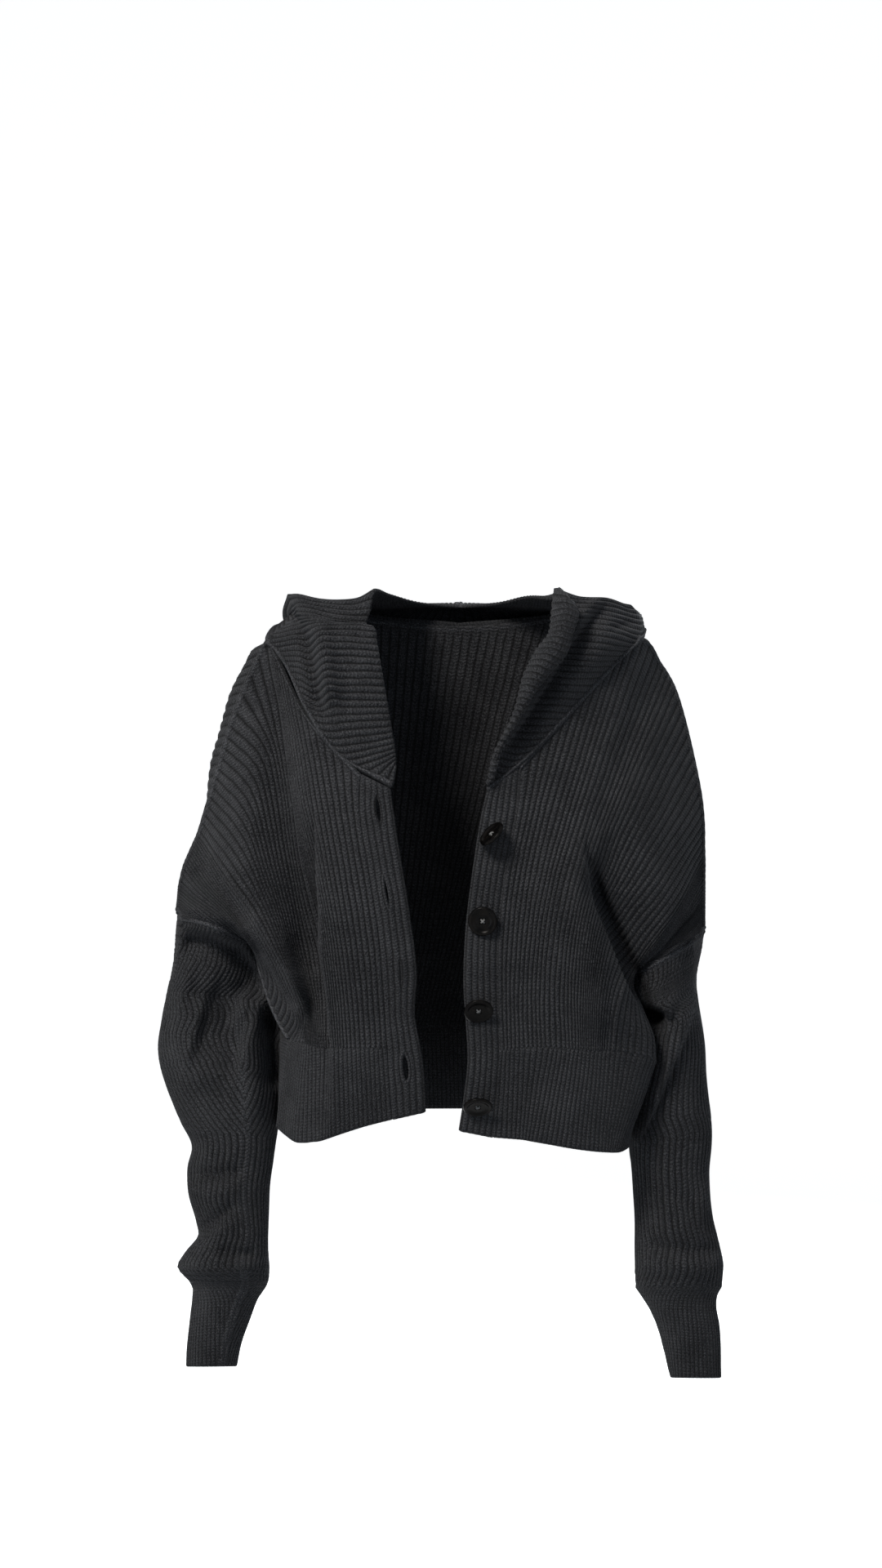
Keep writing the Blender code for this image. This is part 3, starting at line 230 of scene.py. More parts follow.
HOOD_L = [
    [(601, 955, -121), (600, 958, -122), (598, 961, -119), (598, 964, -118), (598, 966, -118), (598, 968, -117)],
    [(612, 916, -124), (612, 919, -127), (609, 923, -118), (618, 925, -111), (634, 927, -108), (650, 924, -103)],
    [(641, 868, -122), (638, 868, -126), (633, 870, -114), (648, 868, -104), (676, 868, -98), (701, 870, -79)],
    [(665, 831, -119), (655, 828, -123), (644, 828, -108), (668, 824, -99), (706, 826, -92), (741, 826, -57)],
    [(690, 802, -113), (675, 797, -119), (659, 799, -101), (690, 794, -90), (732, 797, -80), (768, 799, -39)],
    [(699, 776, -105), (686, 772, -111), (675, 777, -92), (704, 768, -78), (746, 770, -64), (784, 782, -22),
     (783, 764, 18), (722, 750, 65), (644, 758, 80), (562, 765, 86)],
    [(706, 752, -92), (692, 748, -99), (678, 750, -80), (710, 744, -62), (748, 748, -44), (783, 758, 0),
     (778, 752, 40), (722, 763, 80), (644, 776, 96), (562, 783, 102)],
    [(697, 738, -78), (690, 730, -84), (682, 724, -66), (710, 732, -50), (745, 733, -32), (774, 743, 6),
     (776, 758, 58), (724, 795, 103), (644, 812, 118), (562, 820, 122)],
    [(672, 732, -30), (680, 727, -34), (688, 726, -28), (710, 733, -20), (742, 735, -10), (770, 742, 16),
     (772, 765, 80), (724, 830, 124), (644, 862, 134), (562, 876, 137)],
    [(646, 730, 12), (664, 736, 22), (688, 738, 31), (712, 739, 42), (734, 740, 55), (756, 744, 77), (762, 786, 108),
     (722, 858, 138), (644, 902, 145), (562, 913, 147)],
    [(609, 738, 62), (628, 740, 73), (650, 742, 84), (672, 745, 96), (696, 751, 108), (722, 765, 124),
     (724, 815, 142), (692, 872, 151), (634, 904, 154), (562, 914, 155)],
    HOOD_SEAM,
]
# Sharp folds: (downs), (acrosses), (depths mm), softness before and after the line.
# The cloth on the side of the first softness drops away by the depth, then recovers.
FOLDS_R = [((980, 1060, 1159, 1225, 1275, 1320), (384, 384, 388, 396, 402, 402), (0, 18, 40, 42, 16, 8), 26.0, 2.6),
           ((790, 880, 1010, 1100, 1190), (320, 342, 358, 372, 384), (0, 18, 24, 18, 4), 34.0, 13.0)]
FOLDS_L = [((1015, 1060, 1110, 1179, 1246, 1290, 1320), (711, 717, 728, 756, 787, 806, 800),
            (0, -14, -32, -44, -42, -26, 0), 60.0, 2.6)]
# The way each button's face points, top to bottom: to the right, and up, in degrees.
BUTTONS = [(-58, 40), (-8, -6), (4, -37), (4, -49)]

# %% [markdown]
# ## Sampling a panel by its ribs
#
# A knitted rib is a column of stitches. To model it, each panel is sampled with
# the same number of columns for every rib, so a crest and a valley always fall
# on a column. The rib count at each place is the running width of the panel
# divided by the width of one rib, and it later drives the material as well.

# %% Table to surface, and even columns
def wale_surface(rows, folds=()):
    """Surface of (s, v): s counts the table's rows across the ribs and v goes 0
    to 1 along them. It is cubic in both, and the creases are added in depth."""
    table = np.array(rows, float)

    def at(s, v):
        """Cubic along every row, then cubic across the rows, then the folds in depth and sideways."""
        along = cubic(np.linspace(0, 1, table.shape[1]), np.swapaxes(table, 0, 1), v)
        grid = cubic(np.arange(len(table)), np.swapaxes(along, 0, 1), s)
        if len(folds):
            keep = np.clip(folds[0] + 1 - np.asarray(s), 0, 1)[:, None]
            depth, under = fold_depth(folds[1], grid), tucked(folds[1], grid)
            grid[..., 2] += depth * keep
            grid[..., 0] += under * keep
        return grid

    return at


def fold_depth(folds, seen):
    """Depth added by folds: full on the line, a bell curve of its own width on each side."""
    out = np.zeros(seen.shape[:-1])
    for downs, acrosses, depths, before, after in folds:
        d = seen[..., 0] - np.interp(seen[..., 1], downs, acrosses)
        depth = np.interp(seen[..., 1], downs, depths, left=0.0, right=0.0)
        out += depth * np.exp(-((d / np.where(d < 0, before, after)) ** 2))
    return out


def tucked(folds, seen):
    """Sideways shift that lays the deep side of a sharp crease under the other: up to a quarter of the depth."""
    out = np.zeros(seen.shape[:-1])
    for downs, acrosses, depths, _, after in folds:
        if after > 5:
            continue
        d = seen[..., 0] - np.interp(seen[..., 1], downs, acrosses)
        depth = 0.25 * np.interp(seen[..., 1], downs, depths, left=0.0, right=0.0)
        sunk = np.where(d < 0, np.exp(-((d / 12) ** 2)), 1 - smooth(d, 0, after))
        raised = np.where(d > 0, (1 - np.exp(-((d / 4) ** 2))) * np.exp(-((d / 16) ** 2)), 0)
        out += depth * np.where(depth > 0, sunk, raised)
    return out


def creased(grid, creases, weight=1.0):
    """Depth changes along drawn lines: (points, mm away from the front, two half
    widths in squares). A bell curve on each side of the line, the first width to
    the left of a line that runs down or below one that runs right; the depth
    rises and falls along the line."""
    change = np.zeros(grid.shape[:-1])
    for line, depth, *half in creases:
        line = np.array(line, float)
        step = np.diff(line, axis=0)
        size, start = np.linalg.norm(step, axis=1), lengths(line)
        near, side, along = (np.full(grid.shape[:-1], x) for x in (1e9, 0.0, 0.0))
        for a, b, length, begun in zip(line[:-1], step, size, start):
            off = grid[..., :2] - a
            t = np.clip((off @ b) / length ** 2, 0, 1)
            d = np.linalg.norm(off - t[..., None] * b, axis=-1)
            closer = d < near
            near = np.where(closer, d, near)
            side = np.where(closer, b[0] * off[..., 1] - b[1] * off[..., 0], side)
            along = np.where(closer, (begun + t * length) / start[-1], along)
        width = np.where(side > 0, half[0], half[-1])
        change += depth * np.exp(-((near / width) ** 2)) * np.clip(6 * along * (1 - along) + 0.15, 0, 1)
    grid[..., 2] += change * weight
    return grid


def even_columns(surface, span, pitch, per_rib, power=1):
    """Parameters s at equal real spacing, per_rib to a rib, and the rib count at
    each. A higher power in the mean along the ribs keeps them from growing too
    wide where a panel fans out."""
    s = np.linspace(span[0], span[1], 900)
    gap = np.linalg.norm(np.diff(placed(surface(s, np.linspace(0, 1, 41))), axis=0), axis=2)
    width = np.concatenate([[0], np.cumsum((gap ** power).mean(1) ** (1 / power))])
    n = max(int(round(width[-1] / pitch * per_rib)), 4)
    u = np.linspace(0, width[-1], n + 1)
    return np.interp(u, width, s), u / pitch


def respaced(grid, step, rim=(0, 0)):
    """Each column of points (metres) sampled again at even lengths. A rim makes
    the first or last few millimetres finer, for a sewn seam: six steps of 0.8 mm."""
    run = lengths(grid, 1)
    full = run[:, -1]
    fine = np.arange(1, 7) * 0.8e-3
    ends = [fine if r else fine[:0] for r in rim]
    room = full.max() - sum(e[-1] if len(e) else 0 for e in ends)
    n = max(int(round(room / step)), 3)
    low = ends[0][-1] if len(ends[0]) else 0.0
    high = ends[1][-1] if len(ends[1]) else 0.0
    squeeze = np.minimum(1, 0.6 * full / max(low + high, 1e-9))[:, None]
    part = [np.zeros((len(grid), 1)), ends[0][None] * squeeze,
            low * squeeze + (full[:, None] - (low + high) * squeeze) * (np.arange(1, n) / n)[None]]
    part += [(full[:, None] - ends[1][::-1][None] * squeeze), full[:, None]]
    want = np.concatenate(part, axis=1)
    lift = (np.arange(len(grid)) * (full.max() * 4))[:, None]
    knots, ask = (run + lift).ravel(), np.clip(want, 0, full[:, None]) + lift
    flat = grid.reshape(-1, 3)
    new = np.stack([np.interp(ask.ravel(), knots, flat[:, i]) for i in range(3)], axis=1)
    return new.reshape(want.shape + (3,)), want


def rib(u):
    """Height of the rib at rib count u: 1 on a crest (whole numbers), near 0 in
    the valley half-way, as the square root of a squared cosine."""
    return np.sqrt(np.cos(np.pi * u) ** 2 + VALLEY) / np.sqrt(1 + VALLEY)


def smooth(x, a, b):
    """0 below a, 1 above b, and an S-curve between."""
    t = np.clip((x - a) / (b - a), 0, 1)
    return t * t * (3 - 2 * t)


def ridge(d):
    """A seam's welt at distance d (metres): half a wave of cosine, highest 1.9 mm
    from the seam line and gone 4.6 mm from it."""
    return np.cos(np.pi * np.clip((d - 1.9e-3) / 5.4e-3, -0.5, 0.5)) ** 0.7


# %% [markdown]
# ## From a surface to a knitted cloth
#
# Real cloth has two faces and a rolled edge. Every piece is made the same way:
# the outer face is the surface raised by the rib relief along its normals, the
# inner face is one cloth thickness behind it, and a row of points set a little
# outwards rounds each open edge. A UV map keeps the rib count and the number of
# stitches along the rib, so that colour and stitches follow the knit exactly.

# %% Cloth maker
cloth = bpy.data.collections.new("knitted_pieces")
bpy.context.scene.collection.children.link(cloth)
pieces = {}         # name: the piece and the area of its cloth


def grid_quads(ns, nv, closed=False):
    """Quads of an ns by nv grid, the first index wrapping round if closed, and
    for each corner its place on an unwrapped grid of ns + 1 columns."""
    i, j = (a.ravel() for a in np.meshgrid(np.arange(ns if closed else ns - 1), np.arange(nv - 1), indexing="ij"))
    k = (i + 1) % ns
    quads = np.stack([i * nv + j, k * nv + j, k * nv + j + 1, i * nv + j + 1], axis=1)
    return quads, np.stack([i * nv + j, (i + 1) * nv + j, (i + 1) * nv + j + 1, i * nv + j + 1], axis=1)


def normals_of(points, quads):
    """At each point, the sum of the cross products of the diagonals of its quads."""
    a, b, c, d = (points[quads[:, i]] for i in range(4))
    face = np.cross(c - a, d - b)
    total = np.stack([sum(np.bincount(quads[:, i], face[:, k], len(points)) for i in range(4))
                      for k in range(3)], axis=1)
    return total / np.maximum(np.linalg.norm(total, axis=1), 1e-15)[:, None]


def rim_of(quads, n):
    """Directed edges that only one quad has."""
    edges = np.concatenate([quads[:, [i, (i + 1) % 4]] for i in range(4)])
    key = edges.min(1) * n + edges.max(1)
    _, first, count = np.unique(key, return_index=True, return_counts=True)
    return edges[first[count == 1]]


def knitted(name, base, quads, raised, sunk, welted, uv, finish, flip, bulge=0.45):
    """Closed cloth: outer face = base + normal x raised, inner face = base -
    normal x sunk, and a rim row between them pushed outwards by bulge walls.
    flip turns the quads over, for a grid that runs the other way round."""
    base, raised, sunk, welted = base.reshape(-1, 3), raised.ravel(), sunk.ravel(), welted.reshape(-1, 2)
    if flip:
        quads, uv = quads[:, ::-1], uv[:, ::-1]
    n = len(base)
    normal = normals_of(base, quads)
    outer, inner = base + normal * raised[:, None], base - normal * sunk[:, None]
    rim = rim_of(quads, n)
    along = base[rim[:, 1]] - base[rim[:, 0]]
    heading = np.stack([sum(np.bincount(rim[:, i], along[:, k], n) for i in (0, 1)) for k in range(3)], axis=1)
    used = np.unique(rim)
    out = np.cross(heading[used], normal[used])
    out /= np.maximum(np.linalg.norm(out, axis=1), 1e-15)[:, None]
    middle = (outer[used] + inner[used]) / 2 + out * (bulge * WALL)
    spot = np.zeros(n, int)
    spot[used] = 2 * n + np.arange(len(used))
    a, b = rim[:, 0], rim[:, 1]
    faces = np.concatenate([quads, quads[:, ::-1] + n, np.stack([b, a, spot[a], spot[b]], 1),
                            np.stack([spot[b], spot[a], a + n, b + n], 1)])
    points = np.concatenate([outer, inner, middle])
    at_point = np.zeros((n, 2))
    at_point[quads.ravel()] = uv.reshape(-1, 2)
    rims = at_point[np.stack([b, a, a, b], 1)]
    corners = np.concatenate([uv, uv[:, ::-1], rims, rims])
    mesh = bpy.data.meshes.new(name)
    mesh.vertices.add(len(points))
    mesh.vertices.foreach_set("co", points.astype(np.float32).ravel())
    mesh.loops.add(faces.size)
    mesh.loops.foreach_set("vertex_index", faces.astype(np.int32).ravel())
    mesh.polygons.add(len(faces))
    mesh.polygons.foreach_set("loop_start", np.arange(0, faces.size, 4, dtype=np.int32))
    mesh.polygons.foreach_set("use_smooth", np.ones(len(faces), bool))
    layer = mesh.uv_layers.new(name="knit")
    layer.uv.foreach_set("vector", corners.astype(np.float32).ravel())
    # The groove mark is painted shade along each seam; the welt mark also paints the seam cords lighter as a painted
    # highlight.
    for k, mark in enumerate(("welt", "groove")):
        mesh.attributes.new(mark, "FLOAT", "POINT").data.foreach_set(
            "value", np.concatenate([welted, welted, welted[used]])[:, k].astype(np.float32))
    mesh.update(calc_edges=True)
    mesh.validate()
    mesh.materials.append(finish)
    piece = bpy.data.objects.new(name, mesh)
    cloth.objects.link(piece)
    a, b, c, d = (base[quads[:, i]] for i in range(4))
    area = np.linalg.norm(np.cross(c - a, d - b), axis=1).sum() / 2
    print(f"{name}: {2 * len(faces)} triangles, {area * 1e4:.0f} cm2")
    pieces[name] = piece, area


WALL = 2.4e-3                                                       # cloth thickness
CHUNKY, HOOD_RIB, FINE, BAND_RIB = 6.3e-3, 6.9e-3, 4.1e-3, 6.0e-3   # width of one rib
STITCH, FINE_STITCH = 3.4e-3, 2.8e-3                                # height of one stitch along the rib
VALLEY, MEAN = 0.03, 0.55                                           # roundness of a valley, middle height of a rib


def wander(run, u, amount):
    """Sideways wander of a rib in metres, the same on every run: three slow waves of length along it and rib count."""
    return amount * (0.5 * np.sin(run / 9.5e-3 + 1.3 * u) + 0.3 * np.sin(run / 21e-3 + 0.37 * u + 1.0)
                     + 0.2 * np.sin(run / 5.1e-3 - 2.1 * u + 2.0))


def slack(points, amount):
    """Soft unevenness of worn cloth in metres, made of sine waves 5 to 11 cm long."""
    x, y, z = (points[..., i] for i in range(3))
    return amount * (np.sin(61 * x + 23 * z + 1.0) * np.sin(47 * z - 31 * y)
                     + 0.6 * np.sin(97 * z + 71 * x - 40 * y + 2.0))


def dressed(base, run, width, u, on, height, welt, uneven, wobble, closed=False):
    """What the knit adds to a surface, as (points, raised, sunk, welt and groove); the groove mark darkens the seam's
    grooves as painted shade.
    on gives how firmly the first end, last end, first side and last side are
    sewn, 0 to 1: there the ribs die away and a welt rises, elsewhere they run to
    the edge. A closed tube gives its two distances from the seam instead of width."""
    far = [run, run[:, -1:] - run, *(closed or (width, width[-1:] - width))]
    sewn, seam, line = np.ones(run.shape), np.zeros(run.shape), np.zeros(run.shape)
    for d, firm in zip(far, on):
        firm = np.asarray(firm, float)
        firm = firm[:, None] if firm.ndim == 1 else firm
        sewn = np.minimum(sewn, 1 - firm * (1 - smooth(d, 3.0e-3, 5.5e-3)))
        seam = np.maximum(seam, firm * ridge(d) * welt)
        # Painted shade: a dark line on the seam line and one 5 mm out, beside the welt's cord.
        grooves = 0.8 * np.exp(-(d / 0.8e-3) ** 2) + 0.7 * np.exp(-((d - 5.0e-3) / 0.9e-3) ** 2)
        line = np.maximum(line, firm * grooves)
    free = np.prod([np.clip(d / 8e-3, 0, 1) for d in far], axis=0)
    across = np.roll(base, -1, axis=0) - np.roll(base, 1, axis=0) if closed else np.gradient(base, axis=0)
    across /= np.maximum(np.linalg.norm(across, axis=2), 1e-9)[..., None]
    moved = base + across * (wander(run, u, wobble) * free)[..., None]
    sag = slack(base, uneven) * smooth(np.minimum(far[0], far[1]), 0, 15e-3)
    raised = height * (rib(u) - MEAN) * sewn + seam + sag
    sunk = WALL + height * (rib(u + 0.5) - MEAN) * sewn - sag
    return moved, raised, sunk, np.stack([1 - sewn, line], axis=-1)


def panel(name, grid, u, step, finish, flip, on, rim=(0, 0), height=1.4e-3, stitch=STITCH,
          uneven=0.7e-3, wobble=0.35e-3):
    """Cloth piece from one grid of drawn points whose columns run along the ribs."""
    welt = 2.1e-3
    base, run = respaced(placed(grid), step, rim)
    u = np.broadcast_to(u[:, None], run.shape)
    base, raised, sunk, welted = dressed(base, run, lengths(base), u, on, height, welt, uneven, wobble)
    quads, corner = grid_quads(*run.shape)
    uv = np.stack([u, run / stitch], axis=-1).reshape(-1, 2)[corner]
    knitted(name, base, quads, raised, sunk, welted, uv, finish, flip)


# %% [markdown]
# ## The yarn
#
# The yarn is a melange: dark and lighter fibres spun together, so no two
# stitches have the same grey. Down in the valleys between ribs little light
# arrives and the colour is nearly black. Each rib is a column of V-shaped
# stitches. One shader node group makes all of this from the knit UV map, and
# each cloth material uses it with its own numbers.

# %% Knit shader group
def group_tools(tree):
    """Short helpers that add a node, or a Math node, to a node tree and return its output."""
    def node(kind, **values):
        """A new node with the given settings."""
        made = tree.nodes.new(kind)
        for key, value in values.items():
            setattr(made, key, value)
        return made

    def math(operation, a, b=None, c=None, clamp=False):
        """Output of a Math node whose inputs are numbers or other outputs."""
        made = node("ShaderNodeMath", operation=operation, use_clamp=clamp)
        for k, value in enumerate((a, b, c)):
            if value is None:
                continue
            if isinstance(value, (int, float)):
                made.inputs[k].default_value = value
            else:
                tree.links.new(value, made.inputs[k])
        return made.outputs[0]

    return node, math


def noise(node, tree, vector, scale, detail, rough=0.5):
    """Noise texture on a vector; returns its value output."""
    made = node("ShaderNodeTexNoise")
    made.inputs["Scale"].default_value, made.inputs["Detail"].default_value = scale, detail
    made.inputs["Roughness"].default_value = rough
    tree.links.new(vector, made.inputs["Vector"])
    return made.outputs["Fac"]


def knit_group():
    """Group: rib UV and place in; yarn colour with painted shade in rib valleys, stitch gaps and seam grooves and a
    painted highlight on welts, roughness and height out.
    """
    tree = bpy.data.node_groups.new("melange_knit", "ShaderNodeTree")
    face = tree.interface
    for name, kind, value in (("Dark fibre", "NodeSocketColor", (0.0040, 0.0044, 0.0062, 1)),
                              ("Light fibre", "NodeSocketColor", (0.078, 0.080, 0.088, 1)),
                              ("Stitch slope", "NodeSocketFloat", 1.1), ("Valley dark", "NodeSocketFloat", 0.95),
                              ("Stitch dark", "NodeSocketFloat", 0.6), ("Fibre scale", "NodeSocketFloat", 950.0)):
        face.new_socket(name=name, in_out="INPUT", socket_type=kind).default_value = value
    for name, kind in (("Colour", "NodeSocketColor"), ("Roughness", "NodeSocketFloat"), ("Height", "NodeSocketFloat")):
        face.new_socket(name=name, in_out="OUTPUT", socket_type=kind)
    node, math = group_tools(tree)
    given, out = node("NodeGroupInput"), node("NodeGroupOutput")
    uv = node("ShaderNodeUVMap", uv_map="knit")
    place = node("ShaderNodeTexCoord")
    parts = node("ShaderNodeSeparateXYZ")
    tree.links.new(uv.outputs[0], parts.inputs[0])
    u, v = parts.outputs[0], parts.outputs[1]
    here = place.outputs["Object"]
    # Across one rib: 0 on the crest, 0.5 in the valley.
    wobble = noise(node, tree, here, 130, 2)
    u2 = math("MULTIPLY_ADD", math("SUBTRACT", wobble, 0.5), 0.22, u)
    side = math("ABSOLUTE", math("SUBTRACT", u2, math("ROUND", u2)))
    # Along the rib: the legs of a V rise away from the crest.
    phase = math("FRACT", math("SUBTRACT", v, math("MULTIPLY", side, given.outputs["Stitch slope"])))
    strand = math("POWER", math("SINE", math("MULTIPLY", phase, np.pi)), 0.6)
    middle = math("SUBTRACT", 1.0, math("POWER", 2.718, math("MULTIPLY", math("MULTIPLY", side, side), -160.0)))
    welt = node("ShaderNodeAttribute", attribute_name="welt")
    ribbed = math("SUBTRACT", 1.0, welt.outputs["Fac"], clamp=True)
    valley = math("MULTIPLY", math("POWER", math("MULTIPLY", side, 2.0), 2.5), ribbed)
    fibre_at = node("ShaderNodeVectorMath", operation="SCALE")
    tree.links.new(here, fibre_at.inputs[0])
    tree.links.new(given.outputs["Fibre scale"], fibre_at.inputs["Scale"])
    fibre = noise(node, tree, fibre_at.outputs[0], 1.0, 3, 0.65)
    patch = noise(node, tree, here, 38, 2)
    broad = noise(node, tree, here, 9, 1)
    mixed = math("ADD", math("MULTIPLY", math("SUBTRACT", fibre, 0.5), 3.2),
                 math("MULTIPLY", math("SUBTRACT", patch, 0.5), 0.6))
    mixed = math("ADD", mixed, math("MULTIPLY_ADD", math("SUBTRACT", broad, 0.5), 0.5, 0.42), clamp=True)
    blend = node("ShaderNodeMix", data_type="RGBA")
    tree.links.new(mixed, blend.inputs["Factor"])
    tree.links.new(given.outputs["Dark fibre"], blend.inputs[6])
    tree.links.new(given.outputs["Light fibre"], blend.inputs[7])
    # Shade by stitch and valley.
    gap = math("MULTIPLY", math("SUBTRACT", 1.0, math("MULTIPLY", strand, math("MULTIPLY_ADD", middle, 0.4, 0.6))),
               given.outputs["Stitch dark"])
    deep = math("MULTIPLY", valley, given.outputs["Valley dark"])
    # Painted shade in the seam grooves, up to 75 % darker.
    groove = node("ShaderNodeAttribute", attribute_name="groove")
    deep = math("MAXIMUM", deep, math("MULTIPLY", groove.outputs["Fac"], 0.75, clamp=True))
    light = math("MULTIPLY", math("SUBTRACT", 1.0, gap), math("SUBTRACT", 1.0, deep))
    # Painted highlight: the welt's raised cords are painted up to 45 % lighter.
    light = math("MULTIPLY", light, math("MULTIPLY_ADD", welt.outputs["Fac"], 0.45, 1.0))
    shade = node("ShaderNodeVectorMath", operation="SCALE")
    tree.links.new(blend.outputs[2], shade.inputs[0])
    tree.links.new(light, shade.inputs["Scale"])
    tree.links.new(shade.outputs[0], out.inputs["Colour"])
    tree.links.new(math("MULTIPLY_ADD", fibre, 0.2, 0.8, clamp=True), out.inputs["Roughness"])
    height = math("ADD", math("MULTIPLY", strand, 0.55), math("MULTIPLY", fibre, 0.55))
    tree.links.new(math("SUBTRACT", height, math("MULTIPLY", valley, 0.8)), out.inputs["Height"])
    return tree


KNIT = knit_group()


def knit_material(name, **values):
    """Cloth material: the knit group with its own values, bump, and a soft sheen of loose fibres."""
    made = bpy.data.materials.new(name)
    made.use_nodes = True
    tree = made.node_tree
    shader = tree.nodes["Principled BSDF"]
    knit = tree.nodes.new("ShaderNodeGroup")
    knit.node_tree = KNIT
    for key, value in values.items():
        knit.inputs[key.replace("_", " ")].default_value = value
    bump = tree.nodes.new("ShaderNodeBump")
    bump.inputs["Strength"].default_value, bump.inputs["Distance"].default_value = 1.0, 1.0e-3
    tree.links.new(knit.outputs["Height"], bump.inputs["Height"])
    tree.links.new(knit.outputs["Colour"], shader.inputs["Base Color"])
    tree.links.new(knit.outputs["Roughness"], shader.inputs["Roughness"])
    tree.links.new(bump.outputs[0], shader.inputs["Normal"])
    shader.inputs["Specular IOR Level"].default_value = 0.12
    shader.inputs["Sheen Weight"].default_value, shader.inputs["Sheen Roughness"].default_value = 0.05, 0.5
    shader.inputs["Sheen Tint"].default_value = (0.75, 0.78, 0.85, 1)
    return made


CHUNKY_KNIT = knit_material("chunky_rib_knit")
FINE_KNIT = knit_material("fine_rib_knit", Valley_dark=0.85, Stitch_slope=0.9, Fibre_scale=1150.0)
print("materials", [m.name for m in bpy.data.materials])

# %% [markdown]
# ## Fronts
#
# Each front is cut with a wide dropped shoulder, so its upper wales end on a
# shoulder seam that runs down over the upper arm, and the last ones on the
# armhole. The sharp upright creases come from the fold table: the cloth on one
# side of the line drops away by some millimetres and recovers further off. The
# hollows are rounder and lie along lines of any direction.

# %% Fronts
ALONG = np.linspace(0, 1, 161)
HOLLOWS_L = [(((724, 1060), (742, 1108), (766, 1160), (786, 1206)), 22.0, 22.0, 5.0)]
HOLLOWS_R = [(((226, 1056), (262, 1082), (290, 1108), (308, 1132)), 17.0, 14.0, 18.0),
             (((214, 1106), (252, 1117), (284, 1129), (308, 1147)), -7.0, 9.0, 9.0),
             (((256, 1052), (302, 1112), (326, 1146), (352, 1184), (371, 1222), (370, 1248)), -12.0, 9.0, 9.0),
             (((308, 1152), (330, 1180), (350, 1212), (362, 1240)), 9.0, 8.0, 7.0)]
plain_r, plain_l = wale_surface(FRONT_R, (6, FOLDS_R)), wale_surface(FRONT_L, (7, FOLDS_L))


def front_r(s, v):
    """The right front with the hollow above its under-arm, which fades out at the shoulder seam."""
    return creased(plain_r(s, v), HOLLOWS_R, (1 - smooth(np.asarray(v, float), 0.85, 1.0))[None])


def front_l(s, v):
    """The left front with the hollow behind its long fold."""
    return creased(plain_l(s, v), HOLLOWS_L)


def front(name, surface, side_row, neck_row, flip):
    """A front: hem, side seam and armhole along its lower end, neck and shoulder seam along its upper end."""
    s, u = even_columns(surface, (0, 12), CHUNKY, 6, 2)
    low = np.where(s < side_row, 0.08, 1.0)
    high = np.where(s < neck_row, 1.0, 0.55)
    panel(name, surface(s, ALONG), u + 0.5, 6.5e-3, CHUNKY_KNIT, flip, on=(low, high, 0, 1), rim=(1, 1))


front("front_right_cloth", front_r, SIDE_R, NECK_R, True)
front("front_left_cloth", front_l, SIDE_L, NECK_L, False)

# %% [markdown]
# ## Front bands and buttonholes
#
# A narrow band of fine, firm rib edges each front from the hem to the neck. Its
# free edge turns over into a small roll. The four buttonholes stand upright: the
# band's grid is slit along one column, the two lips move apart as half lenses,
# and the cloth beside them thickens like a stitched border.

# %% Front bands
def by_length(points):
    """Knots from 0 to 1 by running length."""
    k = lengths(placed(points))
    return k / k[-1]


def band_strip(edge, inner, front_surface):
    """Surface between the free edge (s = 0) and the inner line (s = 1), domed by 2 mm."""
    e = np.array(edge, float)
    i = np.concatenate([np.array(inner, float), front_surface([0.0], np.linspace(0, 1, 13))[0]])
    ke, ki = by_length(e), by_length(i)

    def at(s, v):
        """Straight across between the two lines, minus a parabola in depth."""
        a, b = cubic(ke, e, v), cubic(ki, i, v)
        s = np.asarray(s, float)[:, None, None]
        grid = a[None] * (1 - s) + b[None] * s
        grid[..., 2] -= (2.0 * 4 * s * (1 - s))[..., 0]
        return grid

    return at


# Buttonholes: across, down, height and width in mm.
BUTTONHOLES = [(463, 993, 25, 7.5), (473, 1093, 31, 5.0), (491, 1192, 25, 3.0), (497, 1307, 26, 8.0)]
band_r, band_l = band_strip(BAND_R_EDGE, BAND_R_INNER, front_r), band_strip(BAND_L_EDGE, BAND_L_INNER, front_l)


